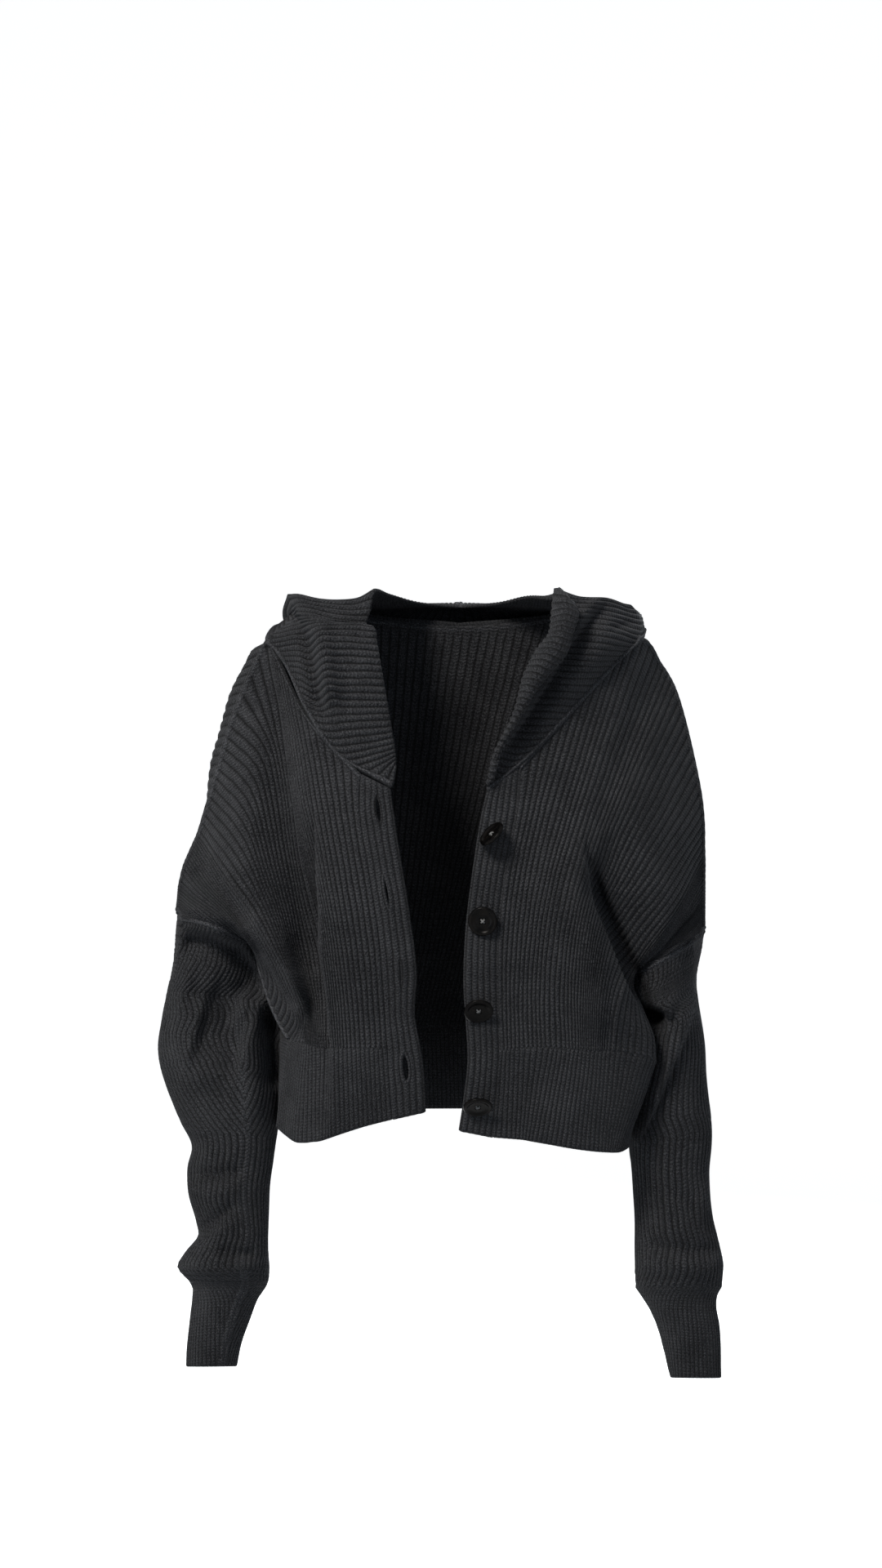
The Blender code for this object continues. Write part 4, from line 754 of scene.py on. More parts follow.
def band(name, surface, flip, holes=()):
    """A front band; each hole splits one column of its grid and pushes the lips apart."""
    s, u = even_columns(surface, (0, 1), BAND_RIB, 8)
    base, run = respaced(placed(surface(s, np.linspace(0, 1, 401))), 2.1e-3 if holes else 3.6e-3)
    ni, nj = run.shape
    u = np.broadcast_to((u + 0.35)[:, None], run.shape)
    width = lengths(base)
    base, raised, sunk, welted = dressed(base, run, width, u, (0, 0.3, 0, 0), 0.8e-3, 0.8e-3, 0.4e-3, 0.15e-3)
    raised = raised - 0.35e-3 + 0.6e-3 * np.exp(-((width - 3.0e-3) / 2.4e-3) ** 2)     # the rolled edge
    quads, corner = grid_quads(ni, nj)
    points, uv = base.reshape(-1, 3), np.stack([u, run / FINE_STITCH], axis=-1).reshape(-1, 2)
    lift, sink, welted = raised.ravel(), sunk.ravel(), welted.reshape(-1, 2)
    whole = ni * nj         # the grid's own points; the twins of the slit points come after them
    for across, down, high, wide in holes:
        seen = drawn(points[:whole])
        near = np.argmin((seen[:, 0] - across) ** 2 + (seen[:, 1] - down) ** 2)
        ci, cj = near // nj, near % nj
        t = (run[ci] - run[ci, cj]) / (high * 0.5e-3)
        open_by = 0.5e-3 * wide * np.sqrt(np.clip(1 - t ** 2, 0, 1))
        inside = np.flatnonzero(open_by > 0)
        lip = ci * nj + inside
        side = width - width[ci][None]
        push = open_by[None] * np.exp(-np.abs(side) / 5e-3)
        step = np.gradient(base, axis=0)
        step /= np.linalg.norm(step, axis=2)[..., None]
        shift = (np.sign(side) * push)[..., None] * step
        shift[ci] = -(open_by[:, None] * step[ci])
        points[:whole] += shift.reshape(-1, 3)
        swap = np.full(whole, -1)
        swap[lip] = len(points) + np.arange(len(lip))
        points = np.concatenate([points, points[lip] + 2 * (open_by[:, None] * step[ci])[inside]])
        border = 0.9e-3 * np.exp(-(side / 2.6e-3) ** 2) * np.exp(-np.clip(np.abs(t) - 1, 0, None) ** 2 * 60)[None]
        lift[:whole] += border.ravel()
        lift, sink, welted = (np.concatenate([x, x[lip]]) for x in (lift, sink, welted))
        beyond = (corner[:, 0] // nj) >= ci
        pick = quads[beyond]
        twin = swap[np.minimum(pick, whole - 1)]
        quads[beyond] = np.where((pick < whole) & (twin >= 0), twin, pick)
    knitted(name, points, quads, lift, sink, welted, uv[corner], FINE_KNIT, flip, 0.6)


band("placket_right_cloth", band_r, True, BUTTONHOLES)
band("placket_left_cloth", band_l, False)

# %% [markdown]
# ## Back
#
# The back hangs from the back neck and the shoulder seams down to the hem band.
# Its upper and lower edges are the fronts' own edges, so the seams close, and
# between them it bows out over the shoulder blades and tucks in at the sides.

# %% Back
def edge_of(surface, s, v):
    """Points of a panel's end: v = 0 is its lower edge, 1 its upper edge."""
    return surface(np.asarray(s, float), np.array([float(v)]))[:, 0]


def pieced(values, corners, at):
    """Smooth curve through rows of values, with its own cubic between each pair of corners, at index positions."""
    values, at = np.asarray(values, float), np.asarray(at, float)
    out = np.empty((len(at),) + values.shape[1:])
    for a, b in zip(corners[:-1], corners[1:]):
        here = (at >= a) & (at <= b)
        out[here] = cubic(np.arange(a, b + 1), values[a:b + 1], at[here])
    return out


S_R = np.concatenate([[0, 0.8, 1.6, 2.3], np.linspace(3, 6.5, 8), [7, 8, 9], np.linspace(10, 12, 9)])
S_L = np.concatenate([[0, 0.8, 1.6, 2.3, 3, 3.5], np.linspace(4, 8, 11), [8.5, 9, 9.5], np.linspace(10, 12, 9)])
N_NECK, N_HOLE = 12, 10
up_r, up_l = S_R[S_R >= NECK_R][::-1], S_L[S_L >= NECK_L]
top = np.concatenate([edge_of(front_r, up_r, 1), resampled(NECK_BACK, N_NECK)[1:-1], edge_of(front_l, up_l, 1)])
side_r, side_l = S_R[(S_R >= SIDE_R) & (S_R < ARM_R)][::-1], S_L[(S_L >= SIDE_L) & (S_L < ARM_L)]
n_waist = len(top) - 2 * N_HOLE - len(side_r) - len(side_l) + 2
waist = resampled(WAIST_BACK, n_waist)[1:-1]
low = np.concatenate([resampled(ARMHOLE_BACK_R, N_HOLE), edge_of(front_r, side_r, 0), waist,
                      edge_of(front_l, side_l, 0), resampled(ARMHOLE_BACK_L[::-1], N_HOLE)])
last = len(top) - 1
TOP_CORNERS = [0, len(up_r) - 1, last - len(up_l) + 1, last]
LOW_CORNERS = [0, N_HOLE - 1, N_HOLE + len(side_r) - 1, last - N_HOLE - len(side_l) + 1, last - N_HOLE + 1, last]
# Depth of the back half-way up each wale, and its tuck behind the side seams, by place across.
BACK_DEPTH = [(215, 1), (218, 17), (227, 42), (245, 56), (275, 70), (320, 82), (380, 97), (470, 108), (562, 112),
              (654, 108), (744, 97), (804, 82), (845, 66), (854, 44), (861, 12), (866, 6)]
BACK_TUCK = [(285, 0), (307, 16), (322, 12), (335, 8), (350, 0), (745, 0), (762, 16), (774, 23), (781, 25), (787, 36),
             (797, 20), (808, 0)]
FOLDS_BACK = [((900, 1000, 1120, 1230, 1262), (372, 392, 410, 424, 430), (0, 5, 8, 7, 2), 20.0, 20.0),
              ((930, 1040, 1150, 1262), (748, 726, 704, 690), (0, 5, 8, 3), 20.0, 20.0),
              ((1080, 1180, 1262), (500, 508, 512), (0, 4, 1), 16.0, 16.0),
              ((1060, 1160, 1262), (622, 616, 612), (0, 5, 1), 18.0, 18.0)]


def back(s, v):
    """From lower to upper edge: across, slow at first and then wider; in depth,
    bowed to the table's depth half-way; with soft upright folds."""
    v, down, up = np.asarray(v, float), pieced(low, LOW_CORNERS, s), pieced(top, TOP_CORNERS, s)
    mid = (down[:, 0] + up[:, 0]) / 2
    spread = v[None] ** (1 + 0.5 * np.abs(mid - MID) / 300)[:, None]
    grid = down[:, None] * (1 - v)[None, :, None] + up[:, None] * v[None, :, None]
    grid[..., 0] = down[:, :1] * (1 - spread) + up[:, :1] * spread
    tuck = np.interp(down[:, 0], *np.array(BACK_TUCK, float).T) * np.clip((92 - down[:, 2]) / 84, 0, 1)
    grid[..., 0] += (np.sign(MID - down[:, 0]) * tuck)[:, None] * (6.75 * v * (1 - v) ** 2)[None]
    # The right shoulder seam lies forward of the ridge, so the back first climbs past it and then turns down.
    behind = smooth(up[:, 1], 735, 765) * (1 - smooth(up[:, 1], 920, 1040)) * (up[:, 0] < 330)
    over = smooth((1 - v) / 0.08, 0, 1) * np.exp(-((1 - v) / 0.22) ** 2)
    push = behind * np.interp(up[:, 1], (760, 840, 890), (33.0, 29.0, 24.0))
    grid[..., 0] -= push[:, None] * over[None]
    grid[..., 1] -= 16.0 * behind[:, None] * over[None]
    bow = np.interp(mid, *np.array(BACK_DEPTH, float).T) - (down[:, 2] + up[:, 2]) / 2
    round_off = (4 * v * (1 - v)) ** 0.75
    grid[..., 2] += bow[:, None] * round_off[None] - fold_depth(FOLDS_BACK, grid) * round_off[None]
    return grid


s, u = even_columns(back, (0.15, last - 0.15), CHUNKY, 4)
panel("back_cloth", back(s, ALONG), u, 7.9e-3, CHUNKY_KNIT, True, on=(0.3, 0.8, 1, 1), rim=(0, 1))

# %% [markdown]
# ## Hem band
#
# The band holds the body in: it is knitted in a finer rib and pulls the chunky
# rib together where they join. It runs from one front band round the back to
# the other, and its lower edge is free.

# %% Hem band
s_r, s_l = S_R[S_R <= SIDE_R], S_L[S_L <= SIDE_L]
low_r, low_l = cubic(np.arange(len(HEM_R)), HEM_R, s_r), cubic(np.arange(len(HEM_L)), HEM_L, s_l)
low_r[..., 2] += 0.5 * fold_depth([(*f[:3], 16.0, 12.0) for f in FOLDS_R], low_r + [0, -70, 0])
hem_up = np.concatenate([edge_of(front_r, s_r, 0), waist, edge_of(front_l, s_l[::-1], 0)])
hem_low = np.concatenate([low_r, resampled(HEM_BACK, n_waist)[1:-1], low_l[::-1]])
hem_last = len(hem_up) - 1
HEM_CORNERS = [0, len(s_r) - 1, hem_last - len(s_l) + 1, hem_last]


def hem(s, v):
    """Straight up from the lower line to the upper line."""
    a, b = pieced(hem_low, HEM_CORNERS, s), pieced(hem_up, HEM_CORNERS, s)
    v = np.asarray(v, float)
    return a[:, None] * (1 - v)[None, :, None] + b[:, None] * v[None, :, None]


s, u = even_columns(hem, (0, hem_last), FINE, 5)
panel("hem_band_cloth", hem(s, np.linspace(0, 1, 41)), u + 0.5, 4.8e-3, FINE_KNIT, True,
      on=(0, 0.08, 0, 0), height=0.75e-3, stitch=FINE_STITCH, uneven=0.5e-3, wobble=0.2e-3)

# %% [markdown]
# ## Sleeves and cuffs
#
# A sleeve is a tube with one seam underneath. It narrows to the wrist, so its
# outer wales end on that seam, in a row of small Vs. The rib count is therefore
# the distance round the tube from the line opposite the seam. The sleeve is
# longer than the arm: it creases at the elbow and blouses over the cuff.

# %% Sleeve surface
def ring(rows, angle, down):
    """Point at an angle from the outer edge (front at a quarter turn) and a
    height: an ellipse from outer to inner edge."""
    t = np.array(rows, float)
    outer, inner, centre, half = (cubic(t[:, 0], t[:, i], np.ravel(down)).reshape(np.shape(down)) for i in (1, 2, 3, 4))
    x = (outer + inner) / 2 + (outer - inner) / 2 * np.cos(angle)
    return np.stack([x, down, centre - half * np.sin(angle)], axis=-1)


def hole_loop(surface, back_rows, angle):
    """Armhole at an angle: the front's edge from its outer end to the under-arm, then the back's edge outwards."""
    ahead = edge_of(surface, 12 - 2 * np.clip(np.ravel(angle) / np.pi, 0, 1), 0)
    rows = resampled(back_rows, 400)
    part = 2 - np.ravel(angle) / np.pi
    behind = np.stack([np.interp(part, np.linspace(0, 1, 400), rows[:, i]) for i in range(3)], axis=1)
    return np.where(np.ravel(angle)[:, None] <= np.pi, ahead, behind).reshape(np.shape(angle) + (3,))


def tube(name, point, v, seam_angle, pitch, finish, flip, n, stitch, on, height, uneven, wobble):
    """Closed knitted tube: column 0 follows the seam, and ribs are counted round from the far side."""
    turn = np.arange(n + 1) / n * 2 * np.pi
    angle = np.mod(seam_angle[None] + turn[:, None], 2 * np.pi)
    grid = placed(point(angle, np.broadcast_to(v[None], angle.shape)))
    girth = lengths(grid)
    base, round_by = grid[:-1], girth[:-1]
    run = lengths(base, 1)
    # Ribs end on the seam only where the tube narrows for good, so the count follows the widest girth still to come.
    widest = np.maximum.accumulate(girth[-1, ::-1])[::-1]
    u = (girth - girth[-1:] / 2) * (widest / girth[-1]) / pitch
    moved, raised, sunk, welted = dressed(base, run, round_by, u[:-1], on, height, 1.8e-3, uneven, wobble,
                                  closed=(round_by, girth[-1:] - round_by))
    quads, corner = grid_quads(n, len(v), closed=True)
    uv = np.stack([u, np.concatenate([run, run[:1]]) / stitch], axis=-1).reshape(-1, 2)[corner]
    knitted(name, moved, quads, raised, sunk, welted, uv, finish, flip)
    print("   girth", np.round(girth[-1, [0, len(v) // 2, -1]] * 1000))


# %% Sleeves
CREASE_R = [(((240, 1258), (268, 1266), (304, 1278)), 15.0, 50.0, 60.0),
            (((226, 1438), (262, 1442), (302, 1434)), 7.0, 4.0, 9.0),
            (((226, 1456), (262, 1460), (300, 1452)), -5.0, 14.0, 9.0),
            (((238, 1516), (262, 1498), (292, 1474)), 6.0, 4.0, 9.0),
            (((234, 1530), (262, 1514), (288, 1494)), -5.0, 12.0, 8.0),
            (((266, 1531), (286, 1537), (312, 1535)), 7.0, 4.0, 8.0),
            (((222, 1551), (262, 1556), (322, 1552)), -6.0, 9.0, 12.0),
            (((262, 1200), (274, 1225), (279, 1250), (286, 1330)), 4.0, 10.0, 10.0),
            (((236, 1220), (228, 1270), (246, 1340)), -7.0, 20.0, 24.0),
            (((214, 1150), (256, 1152), (290, 1166), (307, 1190), (320, 1226)), 30.0, 36.0, 8.0),
            (((226, 1212), (262, 1222), (296, 1238)), 13.0, 40.0, 40.0),
            (((328, 1230), (338, 1275), (342, 1335)), 30.0, 14.0, 14.0),
            (((300, 1240), (306, 1300), (316, 1370)), -6.0, 12.0, 12.0),
            (((204, 1340), (238, 1392), (262, 1420)), -5.0, 16.0, 10.0)]
CREASE_L = [(((772, 1232), (790, 1236), (816, 1243)), 42.0, 13.0, 3.5),
            (((853, 1226), (846, 1243), (828, 1290), (803, 1350), (780, 1402)), -13.0, 36.0, 2.6),
            (((770, 1230), (800, 1233), (822, 1246)), -14.0, 3.0, 30.0),
            (((776, 1244), (796, 1250), (810, 1256)), 12.0, 12.0, 6.0),
            (((864, 1240), (862, 1290), (866, 1340)), -3.0, 8.0, 8.0),
            (((872, 1439), (862, 1470), (856, 1503)), -5.0, 9.0, 9.0),
            (((800, 1452), (836, 1470), (862, 1508)), 4.0, 8.0, 12.0),
            (((888, 1549), (850, 1554), (786, 1546)), -6.0, 9.0, 12.0),
            (((884, 1528), (850, 1532), (786, 1522)), 5.0, 8.0, 8.0)]
NEAR_ROWS = np.array([0, 0.9, 1.8, 2.7, 3.6, 4.5]) / 1000


def behind_body(inner, down):
    """Inner edge of the right sleeve, moved in behind the body's edge by two bell curves of the height."""
    return inner + 15 * np.exp(-(((down - 1235) / 60) ** 2)) + 9 * np.exp(-(((down - 1315) / 70) ** 2))


SLEEVE_R = [(d, o, behind_body(i, d), c, h) for d, o, i, c, h in SLEEVE_R]
SLEEVE_L = [(d, o, i - max(0, 9 - abs(d - 1350) / 11), c, h) for d, o, i, c, h in SLEEVE_L]


def sleeve(name, rows, surface, back_rows, last_down, creases, seam_rows, flip):
    """The sleeve from its armhole to the cuff: rings of ellipses, moved at the
    top by what the armhole differs from an ellipse, and less further down."""
    def point(angle, v):
        """Ellipse point, plus the loop's distance from its own ellipse, which fades by the square."""
        loop = hole_loop(surface, back_rows, angle)
        off = loop - ring(rows, angle, loop[..., 1])
        grid = ring(rows, angle, loop[..., 1] * (1 - v) + last_down * v)
        fade = np.clip(1 - v / 0.3, 0, 1) ** 2
        grid[..., 0] += off[..., 0] * fade
        grid[..., 2] += off[..., 2] * fade
        ahead = np.clip(np.sin(angle) * 2, 0, 1)
        return creased(grid, creases, ahead * smooth(v, 0, 0.04))

    v = np.concatenate([NEAR_ROWS / 0.36, np.linspace(NEAR_ROWS[-1] / 0.36, 1, 80)[1:]])
    seam = np.radians(np.interp(v, *np.array(seam_rows, float).T))
    tube(name, point, v, seam, CHUNKY, CHUNKY_KNIT, flip, 290, STITCH, (1.0, 0.2, 0.25, 0.25), 1.4e-3, 0.6e-3, 0.3e-3)


sleeve("sleeve_right_cloth", SLEEVE_R, front_r, ARMHOLE_BACK_R, 1568, CREASE_R,
       [(0, 180), (0.09, 150), (0.2, 108), (0.6, 111), (1, 115)], True)
sleeve("sleeve_left_cloth", SLEEVE_L, front_l, ARMHOLE_BACK_L, 1576, CREASE_L,
       [(0, 180), (0.2, 176), (0.6, 180), (1, 180)], False)


# %% Cuffs
def cuff(name, rows, seam, flip):
    """The cuff from the sleeve's last ring down to its free edge."""
    first, end = rows[0][0], rows[-1][0]

    def point(angle, v):
        """Ellipse point at an even height from the first row to the last."""
        return ring(rows, angle, first * (1 - v) + end * v)

    v = np.linspace(0, 1, 22)
    tube(name, point, v, np.full(len(v), np.radians(seam)), FINE, FINE_KNIT, flip, 260, FINE_STITCH,
         (0.4, 0, 0.6, 0.6), 0.75e-3, 0.3e-3, 0.15e-3)


cuff("cuff_right_cloth", CUFF_R, 115, True)
cuff("cuff_left_cloth", CUFF_L, 180, False)

# %% [markdown]
# ## Hood
#
# The hood is two mirrored halves sewn along a centre seam and to the neck. Let
# down, it falls forward into two soft lapels at the front and hangs as a bag at
# the back. Its ribs run round from the free edge. Up to the neck seam each half
# is one grid; above the seam the same ribs go on round the back, as a second
# grid that shares its first points with the first.

# %% Hood halves
HOOD_CREASES_R = [(((353, 729), (364, 744), (376, 762), (388, 785), (394, 810), (399, 835), (407, 864)),
                   -13.0, 7.0, 18.0),
                  (((369, 760), (377, 779), (382, 807), (385, 831), (389, 855), (397, 878)), 12.0, 9.0, 5.0),
                  (((412, 790), (420, 840), (430, 880)), 3.0, 12.0, 12.0),
                  (((458, 767), (430, 764), (402, 762)), 9.0, 2.4, 14.0),
                  (((348, 752), (358, 754), (368, 761)), 18.0, 6.0, 4.0)]
HOOD_CREASES_L = [(((736, 733), (722, 743), (711, 756), (702, 770)), -11.0, 6.0, 6.0),
                  (((744, 738), (730, 752), (713, 772), (700, 792), (676, 834), (646, 880), (618, 920)),
                   12.0, 4.0, 15.0),
                  (((782, 764), (766, 764), (748, 770)), 7.0, 6.0, 6.0)]

def hood(name, rows, creases, apron, flip):
    """One half: grid A from the free edge to the seam or roll, grid B from there to the centre seam."""
    lower = np.array([r[:6] for r in rows], float)
    upper = np.array([r for r in rows if len(r) > 6], float)
    t_low, t_up = np.linspace(0, 5, 121), np.linspace(5, 9, 121)

    def first(q, t):
        """Grid A: cubic along the first six points of each wale, then across the wales, then the creases."""
        part = cubic(np.arange(6), np.swapaxes(lower, 0, 1), t)
        grid = cubic(np.arange(len(rows)), np.swapaxes(part, 0, 1), q)
        front_side = (smooth(np.asarray(t), apron, apron + 0.8) * (1 - smooth(np.asarray(t), 4.4, 5)))[None]
        if not flip:        # the ribs dip into the valley beside the roll and rise over the roll itself
            off = grid[..., 0] - np.interp(grid[..., 1], (760, 779, 807, 831, 851, 878), (370, 379, 383, 385, 389, 398))
            part = front_side * smooth(grid[..., 1], 758, 785) * (1 - smooth(grid[..., 1], 850, 885))
            grid[..., 1] += part * (7 * np.exp(-((off + 2) / 10) ** 2) - 4 * np.exp(-((off - 15) / 10) ** 2))
        return creased(grid, creases, front_side)

    def second(q, t):
        """Grid B: cubic along the ten points of each upper wale, then across those wales."""
        part = cubic(np.arange(10), np.swapaxes(upper, 0, 1), t)
        return cubic(np.arange(5, len(rows)), np.swapaxes(part, 0, 1), q)

    s_a, u_a = even_columns(lambda s, v: first(s, v * 5), (0, 5), HOOD_RIB, 5)
    s_b, u_b = even_columns(lambda s, v: first(s, v * 5), (5, 11), HOOD_RIB, 5)
    q, u = np.concatenate([s_a, s_b[1:]]), np.concatenate([u_a, u_a[-1] + u_b[1:]])
    m = len(s_a) - 1
    a_grid, b_grid = first(q, t_low), second(q[m:], t_up)
    away = 1 if flip else -1
    for grid in (a_grid, b_grid):
        grid[..., 0] = MID + away * np.maximum(away * (grid[..., 0] - MID), 0.25)
    base_a, run_a = respaced(placed(a_grid), 4.0e-3, (0, 1))
    base_b, run_b = respaced(placed(b_grid), 6.4e-3, (0, 1))
    base_b[:, 0] = base_a[m:, -1]
    ua, ub = np.broadcast_to(u[:, None], run_a.shape), np.broadcast_to(u[m:, None], run_b.shape)
    sewn = np.where(q < 5, 1.0, np.clip(1 - (q - 5) / 0.25, 0, 1))
    look = (1.7e-3, 2.1e-3, 0.7e-3, 0.35e-3)       # height of rib and welt, unevenness, wander of the ribs
    a = dressed(base_a, run_a, lengths(base_a), ua, (0, sewn, 0, 0.6), *look)
    b = dressed(base_b, run_b, lengths(base_b), ub, (0, 0.6, 1.0, 0.6), *look)
    na, nb, mb = run_a.shape[1], run_b.shape[1], len(q) - m
    ids = np.empty((mb, nb), int)
    ids[:, 0] = (m + np.arange(mb)) * na + na - 1
    ids[:, 1:] = len(q) * na + np.arange(mb * (nb - 1)).reshape(mb, nb - 1)
    quads_a, corner_a = grid_quads(len(q), na)
    quads_b, corner_b = grid_quads(mb, nb)
    uv_a = np.stack([ua, run_a / STITCH], axis=-1).reshape(-1, 2)[corner_a]
    uv_b = np.stack([ub, (run_b + run_a[m:, -1:]) / STITCH], axis=-1).reshape(-1, 2)[corner_b]
    quads, uv = np.concatenate([quads_a, ids.ravel()[quads_b]]), np.concatenate([uv_a, uv_b])
    base, raised, sunk, welted = (
        np.concatenate([x.reshape((-1,) + x.shape[2:]), y[:, 1:].reshape((-1,) + y.shape[2:])]) for x, y in zip(a, b))
    knitted(name, base, quads, raised, sunk, welted, uv, CHUNKY_KNIT, flip, 0.7)


hood("hood_right_cloth", HOOD_R, HOOD_CREASES_R, 0.0, False)
hood("hood_left_cloth", HOOD_L, HOOD_CREASES_L, 2.0, True)

# %% [markdown]
# ## Buttons
#
# Four dark horn buttons of 26 mm, dished, with four holes and a cross of grey
# thread. A button is turned on a lathe, so it is a profile carried round an
# axis; the holes are cut by Boolean modifiers. The fixed model says where each
# one sits, and the same angles tilt it the way it hangs.

# %% Horn and thread
def plain(name, colour, roughness, specular):
    """Material of one colour: the material, its node tree and its shader."""
    made_of = bpy.data.materials.new(name)
    made_of.use_nodes = True
    shader = made_of.node_tree.nodes["Principled BSDF"]
    shader.inputs["Base Color"].default_value = (*colour, 1)
    shader.inputs["Roughness"].default_value = roughness
    shader.inputs["Specular IOR Level"].default_value = specular
    return made_of, made_of.node_tree, shader


def horn_material():
    """Near-black horn with faint brown streaks and satin gloss that varies with the streaks."""
    made_of, tree, shader = plain("dark_horn", (0.01, 0.009, 0.008), 0.3, 0.04)
    node, math = group_tools(tree)
    place = node("ShaderNodeTexCoord")
    streak = noise(node, tree, place.outputs["Object"], 160, 4)
    ramp = node("ShaderNodeValToRGB")
    ramp.color_ramp.elements[0].position, ramp.color_ramp.elements[0].color = 0.35, (0.0012, 0.0012, 0.0014, 1)
    ramp.color_ramp.elements[1].position, ramp.color_ramp.elements[1].color = 0.75, (0.006, 0.005, 0.0045, 1)
    tree.links.new(streak, ramp.inputs[0])
    tree.links.new(ramp.outputs[0], shader.inputs["Base Color"])
    tree.links.new(math("MULTIPLY_ADD", streak, 0.2, 0.16), shader.inputs["Roughness"])
    return made_of


HORN = horn_material()
THREAD = plain("grey_thread", (0.16, 0.16, 0.16), 0.7, 0.2)[0]
BUTTON_R, BUTTON_T = 13.0e-3, 3.8e-3                     # radius and thickness of a button
HOLE_R, HOLE_OUT, DRILL = 1.0e-3, 2.4e-3, 4e-3           # a hole's radius and place, half the drill's length
BAR_R, BAR_OFF, SHANK_R = 0.38e-3, 0.35e-3, 1.3e-3       # radius and offset of the thread's bars, radius of its shank


def lathe(profile, steps):
    """Closed solid of revolution about Z: (radius, height) points carried round; its poles are single points."""
    p = np.array(profile, float)
    a = np.arange(steps) * 2 * np.pi / steps
    body = np.stack([p[1:-1, :1] * np.cos(a), p[1:-1, :1] * np.sin(a), np.repeat(p[1:-1, 1:], steps, axis=1)], axis=-1)
    points = np.concatenate([[[0, 0, p[0, 1]]], body.reshape(-1, 3), [[0, 0, p[-1, 1]]]])
    i, k = np.arange(steps), (np.arange(steps) + 1) % steps
    ring_ids = 1 + np.arange(len(body))[:, None] * steps
    near, far = ring_ids[:-1], ring_ids[1:]
    sides = [tuple(q) for q in np.stack([near + i, near + k, far + k, far + i], -1).reshape(-1, 4)]
    caps = [tuple(t) for t in np.stack([np.zeros(steps, int), 1 + k, 1 + i], 1)]
    end = len(points) - 1
    caps += [tuple(t) for t in np.stack([np.full(steps, end), end - steps + i, end - steps + k], 1)]
    return points, sides + caps


def solid(name, points, faces, finish, soft=True):
    """Object with the given points and faces, smooth-shaded if soft."""
    mesh = bpy.data.meshes.new(name)
    mesh.from_pydata([tuple(p) for p in points], [], [tuple(int(i) for i in f) for f in faces])
    if soft:
        mesh.shade_smooth()
    mesh.materials.append(finish)
    thing = bpy.data.objects.new(name, mesh)
    cloth.objects.link(thing)
    return thing


# Half section from the middle of the back over the rim to the middle of the dish: place, radius, height.
R, T = BUTTON_R, BUTTON_T
KNOTS = [(0.0, 0, -T / 2), (0.3, 0.6 * R, -T / 2), (0.5, 0.84 * R, -0.48 * T), (0.62, 0.97 * R, -0.25 * T),
         (0.7, R, 0.02 * T), (0.78, 0.975 * R, 0.3 * T), (0.86, 0.9 * R, 0.47 * T), (0.93, 0.81 * R, 0.47 * T),
         (1.02, 0.71 * R, 0.3 * T), (1.12, 0.58 * R, 0.15 * T), (1.3, 0.3 * R, 0.13 * T), (1.5, 0, 0.13 * T)]
k = np.array(KNOTS)
fine = cubic(k[:, 0], k[:, 1:], np.linspace(0, 1.5, 41))
fine[0, 0] = fine[-1, 0] = 0
BUTTON_PROFILE = np.clip(fine, [0, -1], [R, 1])


# %% Buttons in place
def rope(points, radius, sides=8):
    """Round cord along a row of points: circles across the run of the line, closed at both ends."""
    p = np.array(points, float)
    ahead = np.gradient(p, axis=0)
    ahead /= np.linalg.norm(ahead, axis=1)[:, None]
    ref = np.array([0.0, 0.0, 1.0]) if abs(ahead[:, 2]).max() < 0.95 else np.array([1.0, 0.0, 0.0])
    n1 = np.cross(ahead, ref)
    n1 /= np.linalg.norm(n1, axis=1)[:, None]
    n2 = np.cross(ahead, n1)
    a = np.arange(sides) * 2 * np.pi / sides
    body = p[:, None] + radius * (n1[:, None] * np.cos(a)[None, :, None] + n2[:, None] * np.sin(a)[None, :, None])
    i, k = np.arange(sides), (np.arange(sides) + 1) % sides
    at = np.arange(len(p) - 1)[:, None] * sides
    faces = [tuple(f) for f in np.stack([at + i, at + sides + i, at + sides + k, at + k], -1).reshape(-1, 4)]
    faces += [tuple(i), tuple((len(p) - 1) * sides + i[::-1])]
    return body.reshape(-1, 3), faces


def joined(parts):
    """Several (points, faces) as one."""
    points, faces, at = [], [], 0
    for p, f in parts:
        points.append(np.asarray(p))
        faces += [tuple(np.array(t) + at) for t in f]
        at += len(p)
    return np.concatenate(points), faces


